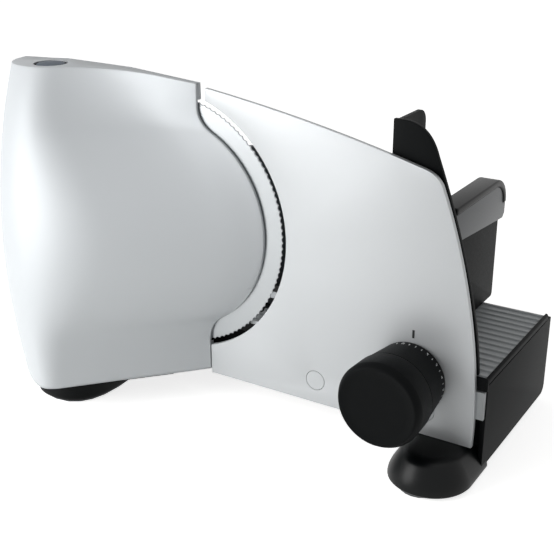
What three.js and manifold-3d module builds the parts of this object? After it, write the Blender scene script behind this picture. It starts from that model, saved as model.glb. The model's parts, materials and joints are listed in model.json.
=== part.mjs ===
// Electric food slicer: a motor housing with a round toothed blade, a stop plate set by a knob,
// and a sliding carriage with a food holder.
// Millimetres, +Z up. X runs to the operator's end and Y to the food side. While the pieces are made,
// the blade's centre is the origin; the finished group is then moved so that its origin is on the
// worktop, under the middle of its box.

import * as THREE from 'three';
import { mergeVertices } from 'three/addons/utils/BufferGeometryUtils.js';
import Module from 'manifold-3d';

const wasm = await Module();
wasm.setup();

// Clearances
const gap = 0.3;
const slideGap = 0.5;

// Blade and its height over the worktop
const bladeRadius = 85;
const bladeThickness = 1;
const bladeHeight = 125;
const bladeBevel = 4;
const bladeClearance = 1.5;

// Heights, measured up from the worktop
const floor = -bladeHeight;
const footHeight = 18;
const soleThickness = 6;
const deckHeight = 35;
const tableRise = 13.5;
const baseBottom = floor + footHeight;
const housingBottom = baseBottom + soleThickness;
const deckTop = baseBottom + deckHeight;
const tableTop = deckTop + tableRise;

// Housing shell
const housingOver = 13.5;
const housingTop = bladeRadius + housingOver;
const housingBack = -1.2;
const housingLeft = -121;
const housingEdgeTop = 23.5;
const housingEdgeBottom = 29;
const housingWall = 2.5;
const rimInset = 12.7;
const rimRadius = bladeRadius - rimInset;
const rimFillet = 20;
const rimThickness = 3.8;
const rimLip = 14;
const noseBottom = -49;
const noseTop = -85;
const depthBottom = 79;
const depthTop = 29;
const noseRound = 0.14;
const noseSwell = 0.24;
const endFlat = 0.55;
const flankPowerBottom = 1.05;
const flankPowerTop = 3;
const flankTurn = 4.5;
const crownDrop = 5;
const crownHeight = 38.5;
const topRound = 1.2;

// Plates behind the housing
const gearPlateThickness = 2.1;
const guardThickness = 3.1;

// Base
const baseInset = 9;
const baseLeft = housingLeft + baseInset;
const baseRight = 219.5;
const baseNear = 8.5;
const baseFar = 118;
const baseWall = 3;
const panelThickness = 3;
const panelDrop = 5.1;
const panelTop = tableTop - panelDrop;
const panelClearance = 5;
const panelBottom = floor + panelClearance;
const panelNear = 4;
const panelFar = 120;
const bossRadius = 2.2;
const bossDrop = 3;
const bossReach = 1.5;

// Feet
const padThickness = 1.5;
const bellRadius = 26;
const bellNeck = 16.6;
const bellInset = 22;
const bellX = baseRight - bellInset;
const bellY = -13.5;
const bellPadRadius = 13.5;
const bellPadX = bellX - 1.5;
const bellPadY = bellY - 10.5;
const leftFootX = -63;
const leftFootY = -22;
const leftFootLength = 31.5;
const leftFootWidth = 42.5;
const leftFootTaper = 3;
const leftFootBend = 0.8;
const rearFootRadius = 14;
const rearFootInset = 24;

// Stop plate, its guide rods and bracket
const plateFront = -2.2;
const plateThickness = 3;
const plateArcGap = 3.3;
const plateLeft = 29.6;
const plateSetback = 2.1;
const plateRight = baseRight - plateSetback;
const plateRise = 3;
const plateBottom = baseBottom + plateRise;
const plateOver = 6.2;
const plateTop = bladeRadius + plateOver;
const cornerInset = 28.4;
const plateCornerX = plateRight - cornerInset;
const cornerDrop = 37.2;
const plateCornerZ = plateTop - cornerDrop;
const rodRadius = 4;
const rodLength = 66;
const rodRise = 19;
const rodHeight = baseBottom + rodRise;
const rodSpan = 75.5;
const rodInset = 31.4;
const rodFarX = plateRight - rodInset;
const rodNearX = rodFarX - rodSpan;
const rodHead = 6.5;
const bushWall = 2.7;
const bushLength = 16;
const bracketThickness = 4;
const bracketBelow = 11;
const bracketAbove = 15;
const bracketOverhang = 14;
const bracketInset = 2;
const tabThickness = 2.4;
const tabOverhang = 2.7;
const tabBelow = 13.5;
const tabAbove = 4.5;

// Knob and its spindle
const knobInset = 41.4;
const knobX = plateRight - knobInset;
const knobRise = 4.8;
const knobZ = deckTop + knobRise;
const dialRadius = 22.8;
const dialFlare = 2.9;
const dialLength = 25.5;
const capRadius = 26.8;
const capFaceRadius = 24;
const capLength = 19.5;
const capChamfer = 4.2;
const spindleRadius = 2.6;
const spindleReach = 30;
const nutLength = 14;

// Carriage
const tableThickness = 4;
const tableLeft = 58;
const tableOverhang = 1.7;
const tableRight = baseRight + tableOverhang;
const tableNear = 3;
const tableFar = 111;
const ribCount = 15;
const ribHeight = 1.2;
const ribWidth = 2.6;
const beadWidth = 2;
const beadHeight = 4.8;
const beadRound = 1.6;
const wallInset = 47.2;
const wallX = tableRight - wallInset;
const wallThickness = 6;
const wallHeight = 68.5;
const wallTop = tableTop + wallHeight;
const wallFar = 121.5;
const guardNear = 3.5;
const guardSheet = 3;
const guardWidth = 61.4;
const guardLeft = plateRight - 1 - guardWidth;
const guardHeight = 145.5;
const guardTop = tableTop + guardHeight;
const flangeDepth = 39;
const railWidth = 10;
const railHeight = 5;
const railY = 60;
const railInset = 10;
const shoeLength = 26;
const shoeInset = 19.2;
const shoeWall = 3;

// Food holder
const saddleWall = 3;
const saddleNear = 36;
const saddleFar = 122;
const saddleReach = 10;
const saddleBottom = wallTop - saddleReach;
const saddleChamfer = 3;
const saddleSlope = 7;
const gripRise = 19.5;
const gripTop = wallTop + gripRise;
const gripThickness = 4.5;
const gripLip = 0.8;
const gripRound = 19;
const pressNear = 50;
const pressThickness = 3;
const pressLeft = 15;
const pressGap = 3;
const pressRight = guardLeft - pressGap;
const pressRise = 13.5;
const pressTop = gripTop + pressRise;
const spikeLength = 5;
const spikeRadius = 1.6;
const armNear = 56;
const armFar = 74;

// Gear train: modules, tooth counts and widths
const bladeModule = 2;
const bladeTeeth = 33;
const idlerPinionTeeth = 11;
const motorModule = 1.5;
const idlerTeeth = 36;
const motorTeeth = 9;
const gearWidth = 4.5;
const idlerAngle = 213;
const motorAngle = 225;
const shaftRadius = 8;
const idlerPinRadius = 3;

// Motor
const canRadius = 22;
const canLength = 46;
const canWall = 1.5;
const magnetThickness = 3.5;
const armatureRadius = 15.5;
const armatureLength = 22;
const motorShaftRadius = 2;
const bearingRadius = 5.5;
const bearingLength = 4;

// Switch and button
const buttonX = -82;
const buttonY = -17.5;
const buttonRadius = 9.3;
const buttonHeight = 6;
const buttonRingWidth = 1.6;
const buttonStem = 3;
const buttonTravel = 3;
const switchWidth = 20;
const switchDepth = 16;
const switchHeight = 18;
const springTurns = 4;
const springWire = 1;

// Cord gland and screws
const glandRadius = 8;
const glandBore = 3.5;
const glandY = 60;
const glandRise = 17;
const glandZ = baseBottom + glandRise;
const screwRadius = 1.9;
const screwHead = 3.8;
const headDepth = 1.6;

// Smoothness of round faces
const fine = 40;
const medium = 20;
const coarse = 10;

// Finishes
function finish(colour, roughness, metalness) {
  return new THREE.MeshStandardMaterial({ color: colour, roughness, metalness });
}

const looks = {
  silver: () => finish('#c9ccd0', 0.38, 0.35),
  plateSilver: () => finish('#d6d8da', 0.34, 0.55),
  black: () => finish('#17181a', 0.42, 0),
  knobBlack: () => finish('#1a1b1d', 0.36, 0),
  tableGrey: () => finish('#7d8184', 0.5, 0),
  holderGrey: () => finish('#43464a', 0.45, 0),
  buttonBlue: () => finish('#5d6876', 0.4, 0),
  rubber: () => finish('#6b6d6f', 0.8, 0),
  steel: () => finish('#d3d6d8', 0.22, 1),
  zinc: () => finish('#a9adb0', 0.35, 1),
  copper: () => finish('#b5713c', 0.35, 1),
  brass: () => finish('#b89a4e', 0.35, 1),
  magnet: () => finish('#3a3b3d', 0.7, 0.2),
  acetal: () => finish('#e6e4dc', 0.5, 0),
};

// Booleans: a closed geometry becomes a solid, and a solid becomes a geometry again
function solid(geometry) {
  const bare = geometry.clone();
  bare.deleteAttribute('normal');
  bare.deleteAttribute('uv');
  const merged = mergeVertices(bare, 1e-4);
  const mesh = new wasm.Mesh({
    numProp: 3,
    vertProperties: new Float32Array(merged.attributes.position.array),
    triVerts: new Uint32Array(merged.index.array),
  });
  return new wasm.Manifold(mesh);
}

function surface(body) {
  const mesh = body.getMesh();
  const geometry = new THREE.BufferGeometry();
  geometry.setAttribute('position', new THREE.BufferAttribute(mesh.vertProperties, 3));
  geometry.setIndex(new THREE.BufferAttribute(mesh.triVerts, 1));
  return geometry;
}

function join(first, ...others) {
  return surface(others.reduce((body, other) => body.add(solid(other)), solid(first)));
}

function cut(first, ...others) {
  return surface(others.reduce((body, other) => body.subtract(solid(other)), solid(first)));
}

// Basic forms
function block(x0, x1, y0, y1, z0, z1) {
  const geometry = new THREE.BoxGeometry(x1 - x0, y1 - y0, z1 - z0);
  return geometry.translate((x0 + x1) / 2, (y0 + y1) / 2, (z0 + z1) / 2);
}

function rodX(radius, y, z, x0, x1, sides = medium) {
  const geometry = new THREE.CylinderGeometry(radius, radius, x1 - x0, sides);
  return geometry.rotateZ(-Math.PI / 2).translate((x0 + x1) / 2, y, z);
}

function rodY(radius, x, z, y0, y1, sides = medium) {
  const geometry = new THREE.CylinderGeometry(radius, radius, y1 - y0, sides);
  return geometry.translate(x, (y0 + y1) / 2, z);
}

function rodZ(radius, x, y, z0, z1, sides = medium) {
  const geometry = new THREE.CylinderGeometry(radius, radius, z1 - z0, sides);
  return geometry.rotateX(Math.PI / 2).translate(x, y, (z0 + z1) / 2);
}

function tubeY(outer, inner, x, z, y0, y1, sides = medium) {
  return cut(rodY(outer, x, z, y0, y1, sides), rodY(inner, x, z, y0 - 1, y1 + 1, sides));
}

// A profile of [radius, height] pairs turned about Y or Z
function turnY(profile, x, z, sides = medium) {
  const points = profile.map(([radius, height]) => new THREE.Vector2(radius, height));
  return new THREE.LatheGeometry(points, sides).translate(x, 0, z);
}

function turnZ(profile, x, y, sides = medium) {
  const points = profile.map(([radius, height]) => new THREE.Vector2(radius, height));
  return new THREE.LatheGeometry(points, sides).rotateX(Math.PI / 2).translate(x, y, 0);
}

function outline(pairs) {
  return new THREE.Shape(pairs.map(([a, b]) => new THREE.Vector2(a, b)));
}

function extrude(shape, length, curveSegments) {
  return new THREE.ExtrudeGeometry(shape, { depth: length, bevelEnabled: false, curveSegments });
}

// A shape drawn in X and Z, between two values of Y
function prismXZ(shape, y0, y1, curveSegments = 12) {
  return extrude(shape, y1 - y0, curveSegments).rotateX(Math.PI / 2).translate(0, y1, 0);
}

// A shape drawn in Y and Z, between two values of X
function prismYZ(shape, x0, x1, curveSegments = 12) {
  const turn = new THREE.Matrix4().makeBasis(
    new THREE.Vector3(0, 1, 0),
    new THREE.Vector3(0, 0, 1),
    new THREE.Vector3(1, 0, 0),
  );
  return extrude(shape, x1 - x0, curveSegments).applyMatrix4(turn).translate(x0, 0, 0);
}

// A closed body over rings that run anticlockwise seen from above, lowest ring first
function loft(rings) {
  const count = rings[0].length;
  const positions = rings.flat().flatMap((point) => [point.x, point.y, point.z]);
  const faces = [];
  for (let level = 0; level < rings.length - 1; level += 1) {
    for (let i = 0; i < count; i += 1) {
      const a = level * count + i;
      const b = level * count + (i + 1) % count;
      faces.push(a, b, b + count, a, b + count, a + count);
    }
  }
  const flat = (ring) => ring.map((point) => new THREE.Vector2(point.x, point.y));
  const last = (rings.length - 1) * count;
  for (const [a, b, c] of THREE.ShapeUtils.triangulateShape(flat(rings[0]), [])) {
    faces.push(c, b, a);
  }
  for (const [a, b, c] of THREE.ShapeUtils.triangulateShape(flat(rings.at(-1)), [])) {
    faces.push(last + a, last + b, last + c);
  }
  const geometry = new THREE.BufferGeometry();
  geometry.setAttribute('position', new THREE.Float32BufferAttribute(positions, 3));
  geometry.setIndex(faces);
  return geometry;
}

// A flat ring drawn inwards by a distance, along the mean normal at each corner
function inset(ring, distance) {
  return ring.map((point, i) => {
    const before = ring[(i + ring.length - 1) % ring.length];
    const after = ring[(i + 1) % ring.length];
    const along = new THREE.Vector2(after.x - before.x, after.y - before.y).normalize();
    return new THREE.Vector3(point.x - along.y * distance, point.y + along.x * distance, point.z);
  });
}

const slicer = new THREE.Group();
slicer.name = 'food_slicer';

function add(name, geometry, material) {
  const mesh = new THREE.Mesh(geometry, material);
  mesh.name = name;
  slicer.add(mesh);
}

// Housing form: level runs from 0 at the bottom to 1 at the top

function levelOf(z) {
  return THREE.MathUtils.clamp((z - housingBottom) / (housingTop - housingBottom), 0, 1);
}

// Right-hand edge: the round rim, a fillet, then the straight edge
function rimX(z) {
  const height = Math.abs(z);
  const edge = z > 0 ? housingEdgeTop : housingEdgeBottom;
  const reach = rimRadius + rimFillet;
  const filletX = edge + rimFillet;
  const filletZ = Math.sqrt(reach ** 2 - filletX ** 2);
  if (height >= filletZ) {
    return edge;
  }
  if (height >= filletZ * rimRadius / reach) {
    return filletX - Math.sqrt(rimFillet ** 2 - (filletZ - height) ** 2);
  }
  return Math.sqrt(rimRadius ** 2 - height ** 2);
}

function noseX(z) {
  return THREE.MathUtils.lerp(noseBottom, noseTop, levelOf(z) ** 1.2);
}

function depthAt(z) {
  return THREE.MathUtils.lerp(depthBottom, depthTop, levelOf(z) ** 2.6);
}

// Front flank: straight at the bottom, hollow at the top, rounded off into the nose
function flankShare(u, power, round) {
  const start = 1 - round;
  const slope = power * start ** (power - 1);
  const end = start ** power + slope * round / 2;
  if (u <= start) {
    return u ** power / end;
  }
  const v = (u - start) / round;
  return (start ** power + slope * round * (v - v * v / 2)) / end;
}

function frontY(x, z) {
  const power = THREE.MathUtils.lerp(flankPowerBottom, flankPowerTop, levelOf(z) ** flankTurn);
  const round = noseRound + noseSwell * Math.sin(Math.PI * levelOf(z)) ** 2;
  const u = THREE.MathUtils.clamp((rimX(z) - x) / (rimX(z) - noseX(z)), 0, 1);
  return housingBack - rimThickness - depthAt(z) * flankShare(u, power, round);
}

function crowned(x, z) {
  const share = THREE.MathUtils.smoothstep(z, housingTop - crownHeight, housingTop);
  const crest = (noseBottom + noseTop) / 2;
  const across = (Math.min(x, housingEdgeTop) - crest) / (housingEdgeTop - crest);
  return z - crownDrop * share * across ** 2;
}

const endSteps = 9;
const flankSteps = 11;

// The left end is a quarter ellipse at the top and flattens towards the bottom
function endPower(z) {
  return 2 / (2 - endFlat * (1 - levelOf(z)) ** 2.2);
}

// One ring of the housing: back edge, rounded left end, front flank
function housingRing(z, wall, rightX, backY) {
  const nose = noseX(z);
  const deep = frontY(nose, z) + wall;
  const power = endPower(z);
  const ring = [[rightX, backY], [housingLeft + wall, backY]];
  for (let i = 1; i <= endSteps; i += 1) {
    const angle = Math.PI / 2 * i / endSteps;
    const x = nose - (nose - housingLeft - wall) * Math.cos(angle) ** power;
    ring.push([x, housingBack + (deep - housingBack) * Math.sin(angle) ** power]);
  }
  for (let i = 1; i <= flankSteps; i += 1) {
    const x = THREE.MathUtils.lerp(nose, rightX, i / flankSteps);
    ring.push([x, frontY(x, z) + wall]);
  }
  return ring.map(([x, y]) => new THREE.Vector3(x, y, crowned(x, z)));
}

// Heights of the rings, closer together where the rim turns fast
const rimShares = [-0.98, -0.87, -0.72, -0.5, -0.25, 0, 0.25, 0.5, 0.72, 0.87, 0.98];
const rimLevels = rimShares.map((share) => share * rimRadius);
const lowLevels = [0.37, 0.73].map((share) => THREE.MathUtils.lerp(housingBottom, -rimRadius, share));
const highLevels = [0.3, 0.6].map((share) => THREE.MathUtils.lerp(rimRadius, housingTop, share));
const shellLevels = [housingBottom, ...lowLevels, ...rimLevels, ...highLevels, housingTop - topRound];

function cavityRight(z) {
  return rimX(z) - rimLip;
}

function buttonHole(radius) {
  return rodZ(radius, buttonX, buttonY, housingTop - 20, housingTop + 5);
}

function motorHousing() {
  const rings = shellLevels.map((z) => housingRing(z, 0, rimX(z), housingBack));
  const top = housingRing(housingTop, 0, rimX(housingTop), housingBack);
  rings.push(inset(top, topRound * 0.3).map((point) => point.setZ(point.z - topRound * 0.3)));
  rings.push(inset(top, topRound));
  const roof = housingTop - topRound - housingWall;
  const inner = [housingBottom - 5, ...shellLevels.slice(1, -1), roof];
  const cavity = inner.map((z) => housingRing(z, housingWall, cavityRight(z), housingBack + 5));
  return cut(loft(rings), loft(cavity), buttonHole(buttonRadius + buttonRingWidth + gap));
}

// Drive train places, needed by the plates that carry it
const hubBushRadius = shaftRadius + gap + 2.5;
const bushRadius = rodRadius + gap + bushWall;
const idlerDistance = bladeModule * (bladeTeeth + idlerPinionTeeth) / 2;
const motorDistance = motorModule * (idlerTeeth + motorTeeth) / 2;
const idlerTurn = THREE.MathUtils.degToRad(idlerAngle);
const motorTurn = THREE.MathUtils.degToRad(motorAngle);
const idlerX = idlerDistance * Math.cos(idlerTurn);
const idlerZ = idlerDistance * Math.sin(idlerTurn);
const motorX = idlerX + motorDistance * Math.cos(motorTurn);
const motorZ = idlerZ + motorDistance * Math.sin(motorTurn);

// Fixed plates behind the housing
const gearPlateBack = housingBack - gap;
const gearPlateFront = gearPlateBack - gearPlateThickness;
const guardFront = housingBack + gap;
const guardBack = guardFront + guardThickness;
const screwPlaces = [[housingLeft + 14, 62], [housingLeft + 14, -62], [-60, housingBottom + 12]];

function screwHoles(radius) {
  return screwPlaces.map(([x, z]) => rodY(radius, x, z, gearPlateFront - 20, guardBack + 5, coarse));
}

// The gear plate ends where the housing grows too thin to hold it
function gearPlateEdge(z) {
  let x = cavityRight(z) - 2 * gap;
  while (frontY(x, z) + housingWall > gearPlateFront - gap) {
    x -= 1;
  }
  return x;
}

function gearPlate() {
  const low = housingBottom + gap;
  const high = housingTop - topRound - housingWall - 2 * crownDrop;
  const levels = [low, lowLevels[1], ...rimLevels, highLevels[0], high];
  const right = levels.map((z) => [gearPlateEdge(z), crowned(gearPlateEdge(z), z)]);
  const left = housingLeft + housingWall + 3 * gap;
  const sheet = prismXZ(outline([...right, [left, high], [left, low]]), gearPlateFront, gearPlateBack);
  const bushHole = rodY(hubBushRadius + gap, 0, 0, gearPlateFront - 1, gearPlateBack + 1);
  const pinHole = rodY(idlerPinRadius + gap, idlerX, idlerZ, gearPlateFront - 1, gearPlateBack + 1);
  const posts = [motorTurn - Math.PI / 2, motorTurn, motorTurn + Math.PI / 2].map((angle) => {
    const x = motorX + (canRadius - 4) * Math.cos(angle);
    const z = motorZ + (canRadius - 4) * Math.sin(angle);
    return rodY(3, x, z, canBack + gap, gearPlateBack, coarse);
  });
  const shelf = block(buttonX - 8, buttonX + 8, buttonY + switchDepth / 2 + gap, gearPlateBack,
    switchTop - switchHeight + 2, switchTop - 2);
  return cut(join(sheet, shelf, ...posts), bushHole, pinHole, ...screwHoles(screwRadius + gap));
}

function bladeGuard() {
  const sheet = prismXZ(outline([
    [housingEdgeBottom, housingBottom],
    [housingEdgeTop, crowned(housingEdgeTop, housingTop)],
    [(housingEdgeTop + noseTop) / 2, crowned((housingEdgeTop + noseTop) / 2, housingTop)],
    [noseTop, crowned(noseTop, housingTop)],
    [housingLeft + topRound, crowned(housingLeft, housingTop) - topRound],
    [housingLeft, crowned(housingLeft, housingTop) - 3 * topRound],
    [housingLeft, housingBottom],
  ]), guardFront, guardBack);
  const bladeHole = rodY(bladeRadius + bladeClearance, 0, 0, guardFront - 1, guardBack + 1, fine);
  const heads = screwPlaces.map(([x, z]) => {
    return rodY(screwHead + gap, x, z, guardBack - headDepth, guardBack + 1, coarse);
  });
  return cut(sheet, bladeHole, ...screwHoles(screwRadius + gap), ...heads);
}

function guardScrew([x, z]) {
  const low = gearPlateFront - 6;
  const headLow = guardBack - headDepth + gap;
  const profile = [[0, low], [screwRadius, low], [screwRadius, headLow], [screwHead, headLow],
    [screwHead, guardBack - gap], [0, guardBack - gap]];
  return turnY(profile, x, z, coarse);
}

// Base: a box open below, a sole under the housing and a leg at the operator's end
const soleTop = housingBottom - gap;
const legLeft = bellX - bellRadius;
const armHalf = 8;
const armLow = baseBottom - 6;
const armHigh = baseBottom - 1;
const soleInset = 16;
const bridgeReach = 12;

function soleRing(z) {
  const ring = housingRing(housingBottom, soleInset, housingEdgeBottom - 1.5 * soleInset, housingBack);
  return ring.map((point) => point.setZ(z));
}

function baseFrame() {
  const box = block(baseLeft, baseRight, baseNear, baseFar, baseBottom, deckTop);
  const inside = block(baseLeft + baseWall, baseRight - baseWall, baseNear + baseWall, baseFar - baseWall,
    baseBottom - 1, deckTop - baseWall);
  const legFront = baseNear - 1;
  const legBack = baseNear + baseWall;
  const leg = block(legLeft, baseRight, legFront, legBack, baseBottom, deckTop);
  const armLeft = bellX - armHalf;
  const armRight = bellX + armHalf;
  const shin = block(armLeft, armRight, legFront, legBack, armLow, baseBottom + 1);
  const arm = block(armLeft, armRight, bellY - armHalf, legBack, armLow, armHigh);
  const sole = loft([soleRing(baseBottom), soleRing(soleTop)]);
  const bridgeRight = housingEdgeBottom - 2 * soleInset;
  const bridge = block(baseLeft + soleInset, bridgeRight, housingBack - bridgeReach, baseNear + 1,
    baseBottom, soleTop);
  const bushHoles = [rodNearX, rodFarX].map((x) => {
    return rodY(bushRadius + gap, x, rodHeight, baseNear - 6, baseNear + 8);
  });
  const neckHole = rodX(glandRadius - 2 + gap, glandY, glandZ, baseLeft - 1, baseLeft + baseWall + 1);
  return cut(join(box, leg, shin, arm, sole, bridge), inside, ...bushHoles, neckHole);
}

function endPanel() {
  const round = 6;
  const shape = new THREE.Shape();
  shape.moveTo(panelNear, panelBottom);
  shape.lineTo(panelFar - round, panelBottom);
  shape.absarc(panelFar - round, panelBottom + round, round, -Math.PI / 2, 0, false);
  shape.lineTo(panelFar, panelTop);
  shape.lineTo(panelNear, panelTop);
  const sheet = prismYZ(shape, baseRight + gap, baseRight + gap + panelThickness, 6);
  const boss = rodX(bossRadius, panelNear + bossRadius, panelTop - bossDrop,
    baseRight - bossReach, baseRight + 1);
  return join(sheet, boss);
}

// Feet: each stands on a pad that reaches the worktop
const padTop = floor + padThickness;
const footLow = padTop + gap;

function bellFoot() {
  const top = plateBottom - gap;
  const steps = 8;
  const flare = [];
  for (let i = 0; i <= steps; i += 1) {
    const rise = i / steps;
    flare.push([
      bellRadius - (bellRadius - bellNeck) * rise ** 1.5,
      THREE.MathUtils.lerp(footLow + 2, top, rise),
    ]);
  }
  const flank = [[bellRadius - 1, footLow], [bellRadius, footLow + 1], ...flare];
  const bell = turnZ([[0, footLow], ...flank, [0, top]], bellX, bellY, medium);
  const rightSide = flank.map(([radius, z]) => [bellX + radius, z]);
  const leftSide = flank.map(([radius, z]) => [bellX - radius, z]).reverse();
  const heel = prismXZ(outline([...rightSide, ...leftSide]), bellY, panelNear - gap);
  const pocket = block(bellX - armHalf - gap, bellX + armHalf + gap, bellY - armHalf - gap,
    bellY + bellRadius + 1, armLow - gap, armHigh + gap);
  return cut(join(bell, heel), pocket);
}

function ellipseRing(length, width, z) {
  const ring = [];
  for (let i = 0; i < medium; i += 1) {
    const angle = 2 * Math.PI * i / medium;
    const across = Math.sign(Math.cos(angle)) * Math.abs(Math.cos(angle)) ** leftFootBend;
    const along = Math.sign(Math.sin(angle)) * Math.abs(Math.sin(angle)) ** leftFootBend;
    ring.push(new THREE.Vector3(leftFootX + length * across, leftFootY + width * along, z));
  }
  return ring;
}

function leftFoot() {
  const top = baseBottom - gap;
  const tapers = [[footLow, leftFootTaper + 1.5], [footLow + 2, leftFootTaper], [top, 0]];
  return loft(tapers.map(([z, taper]) => ellipseRing(leftFootLength - taper, leftFootWidth - taper, z)));
}

function leftPad() {
  const taper = leftFootTaper + 3;
  const sizes = [leftFootLength - taper, leftFootWidth - taper];
  return loft([ellipseRing(...sizes, floor), ellipseRing(...sizes, padTop)]);
}

function roundPad(x, y, radius) {
  const edge = 0.8;
  const rim = [[radius, floor], [radius, padTop - edge], [radius - edge, padTop]];
  const profile = [[0, floor], ...rim, [0, padTop]];
  return turnZ(profile, x, y);
}

const rearY = baseFar - rearFootInset;
const rearPlaces = { left: baseLeft + rearFootInset, right: baseRight - rearFootInset };

function rearFoot(x) {
  const seat = deckTop - baseWall - gap;
  const post = rearFootRadius - 7;
  return turnZ([[0, footLow], [rearFootRadius - 1.5, footLow], [rearFootRadius, footLow + 3],
    [rearFootRadius, baseBottom - gap], [post, baseBottom - gap], [post, seat], [0, seat]], x, rearY, medium);
}

function cordGland() {
  const out = baseLeft - 5;
  const neck = glandRadius - 2;
  const inner = baseLeft + baseWall + 4;
  const body = join(
    rodX(glandRadius, glandY, glandZ, out, baseLeft - gap),
    rodX(neck, glandY, glandZ, out + 1, inner),
  );
  return cut(body, rodX(glandBore, glandY, glandZ, out - 1, inner + 1));
}

// Gear train: the blade's gear and the idler's pinion lie in one layer, the idler's wheel and the
// motor's pinion in the next
const innerBack = gearPlateFront - 2 * gap;
const innerFront = innerBack - gearWidth;
const outerBack = innerFront - 2 * gap;
const outerFront = outerBack - gearWidth;

// Teeth with straight flanks; the tooth at the phase angle points that way
function gearShape(teeth, module, phase) {
  const pitch = module * teeth / 2;
  const root = pitch - 1.2 * module;
  const tip = pitch + 0.8 * module;
  const corners = [[root, -0.62], [tip, -0.22], [tip, 0.22], [root, 0.62]];
  const points = [];
  for (let tooth = 0; tooth < teeth; tooth += 1) {
    for (const [radius, share] of corners) {
      const angle = phase + Math.PI / teeth * (2 * tooth + share);
      points.push([radius * Math.cos(angle), radius * Math.sin(angle)]);
    }
  }
  return outline(points);
}

function bladeGear() {
  const teeth = prismXZ(gearShape(bladeTeeth, bladeModule, idlerTurn), innerFront, innerBack);
  const hub = rodY(shaftRadius, 0, 0, innerFront, -bladeThickness / 2 - gap);
  const bore = rodY(lockRadius + gap, 0, 0, innerFront - 1, bladeThickness);
  return cut(join(teeth, hub), bore);
}

const lockRadius = shaftRadius - 2.5;
const lockHead = 16;
const lockHeadThickness = 1.6;

function blade() {
  const half = bladeThickness / 2;
  const bore = lockRadius + gap;
  const profile = [[bore, -half], [bladeRadius - bladeBevel, -half], [bladeRadius, 0.2 * half],
    [bladeRadius, half], [bore, half], [bore, -half]];
  return turnY(profile, 0, 0, fine);
}

function bladeLock() {
  const seat = bladeThickness / 2 + gap;
  const top = seat + lockHeadThickness;
  const profile = [[0, innerFront], [lockRadius, innerFront], [lockRadius, seat], [lockHead, seat],
    [lockHead, seat + 0.6], [lockHead - 1, top], [0, top]];
  const slot = block(-lockHead + 3, lockHead - 3, top - 0.8, top + 1, -1.5, 1.5);
  return cut(turnY(profile, 0, 0, medium), slot);
}

function idlerGear() {
  const pinionPhase = idlerTurn + Math.PI * (1 + 1 / idlerPinionTeeth);
  const pinion = prismXZ(gearShape(idlerPinionTeeth, bladeModule, pinionPhase), outerBack - 1, innerBack);
  const wheel = prismXZ(gearShape(idlerTeeth, motorModule, motorTurn), outerFront, outerBack);
  const bore = rodY(idlerPinRadius + gap, 0, 0, outerFront - 1, innerBack + 1);
  return cut(join(wheel, pinion), bore).translate(idlerX, 0, idlerZ);
}

function idlerPin() {
  const stop = outerFront - gap;
  const head = idlerPinRadius + 2;
  return turnY([[0, stop - 1.5], [head, stop - 1.5], [head, stop], [idlerPinRadius, stop],
    [idlerPinRadius, gearPlateBack], [0, gearPlateBack]], idlerX, idlerZ, coarse);
}

// Motor: a can with two magnets, closed by a cap that carries the brushes
const canBack = outerFront - 2 * gap;
const canFront = canBack - canLength;
const capThickness = 4;
const capBack = canFront - gap;
const capFront = capBack - capThickness;
const endWall = 2;
const shaftHole = bearingRadius + gap;

function motorCan() {
  const body = rodY(canRadius, motorX, motorZ, canFront, canBack);
  const hollow = rodY(canRadius - canWall, motorX, motorZ, canFront - 1, canBack - endWall);
  const hole = rodY(shaftHole, motorX, motorZ, canBack - endWall - 1, canBack + 1);
  return cut(body, hollow, hole);
}

function motorCap() {
  const cover = rodY(canRadius, motorX, motorZ, capFront, capBack);
  const spigot = rodY(canRadius - canWall - gap, motorX, motorZ, capBack - 1, capBack + 3);
  const well = rodY(canRadius - canWall - 3, motorX, motorZ, capBack - 0.5, capBack + 4);
  const hole = rodY(shaftHole, motorX, motorZ, capFront - 1, capBack + 1);
  return cut(join(cover, spigot), well, hole);
}

function bearing(y0, y1) {
  return tubeY(bearingRadius, motorShaftRadius + gap, motorX, motorZ, y0, y1, coarse);
}

const armatureBack = canBack - endWall - bearingLength - 3;
const armatureFront = armatureBack - armatureLength;

function magnet(facing) {
  const outer = canRadius - canWall - gap;
  const inner = outer - magnetThickness;
  const half = THREE.MathUtils.degToRad(62);
  const shape = new THREE.Shape();
  shape.absarc(0, 0, outer, facing - half, facing + half, false);
  shape.absarc(0, 0, inner, facing + half, facing - half, true);
  return prismXZ(shape, armatureFront - 2, armatureBack + 2, 10).translate(motorX, 0, motorZ);
}

function armature() {
  const poles = 8;
  const corners = [[0.55, -0.8], [0.8, -0.72], [1, -0.8], [1, 0], [1, 0.8], [0.8, 0.72], [0.55, 0.8]];
  const points = [];
  for (let pole = 0; pole < poles; pole += 1) {
    for (const [radius, share] of corners) {
      const angle = Math.PI / poles * (2 * pole + share);
      points.push([armatureRadius * radius * Math.cos(angle), armatureRadius * radius * Math.sin(angle)]);
    }
  }
  const core = prismXZ(outline(points), armatureFront, armatureBack);
  const bore = rodY(motorShaftRadius + gap, 0, 0, armatureFront - 1, armatureBack + 1, coarse);
  return cut(core, bore).translate(motorX, 0, motorZ);
}

const commutatorRadius = 6;
const commutatorBack = armatureFront - gap;
const commutatorFront = commutatorBack - 8;

function commutator() {
  const bore = motorShaftRadius + gap;
  return tubeY(commutatorRadius, bore, motorX, motorZ, commutatorFront, commutatorBack, coarse);
}

function brush(side) {
  const reach = canRadius - canWall - 3 - 2 * gap;
  const near = commutatorRadius + gap;
  const x0 = motorX + (side > 0 ? near : -reach);
  const x1 = motorX + (side > 0 ? reach : -near);
  return block(x0, x1, capBack - 0.5 + gap, commutatorBack - 1, motorZ - 2.5, motorZ + 2.5);
}

function motorShaft() {
  return rodY(motorShaftRadius, motorX, motorZ, capFront - 2, outerBack + 0.5, coarse);
}

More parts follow.
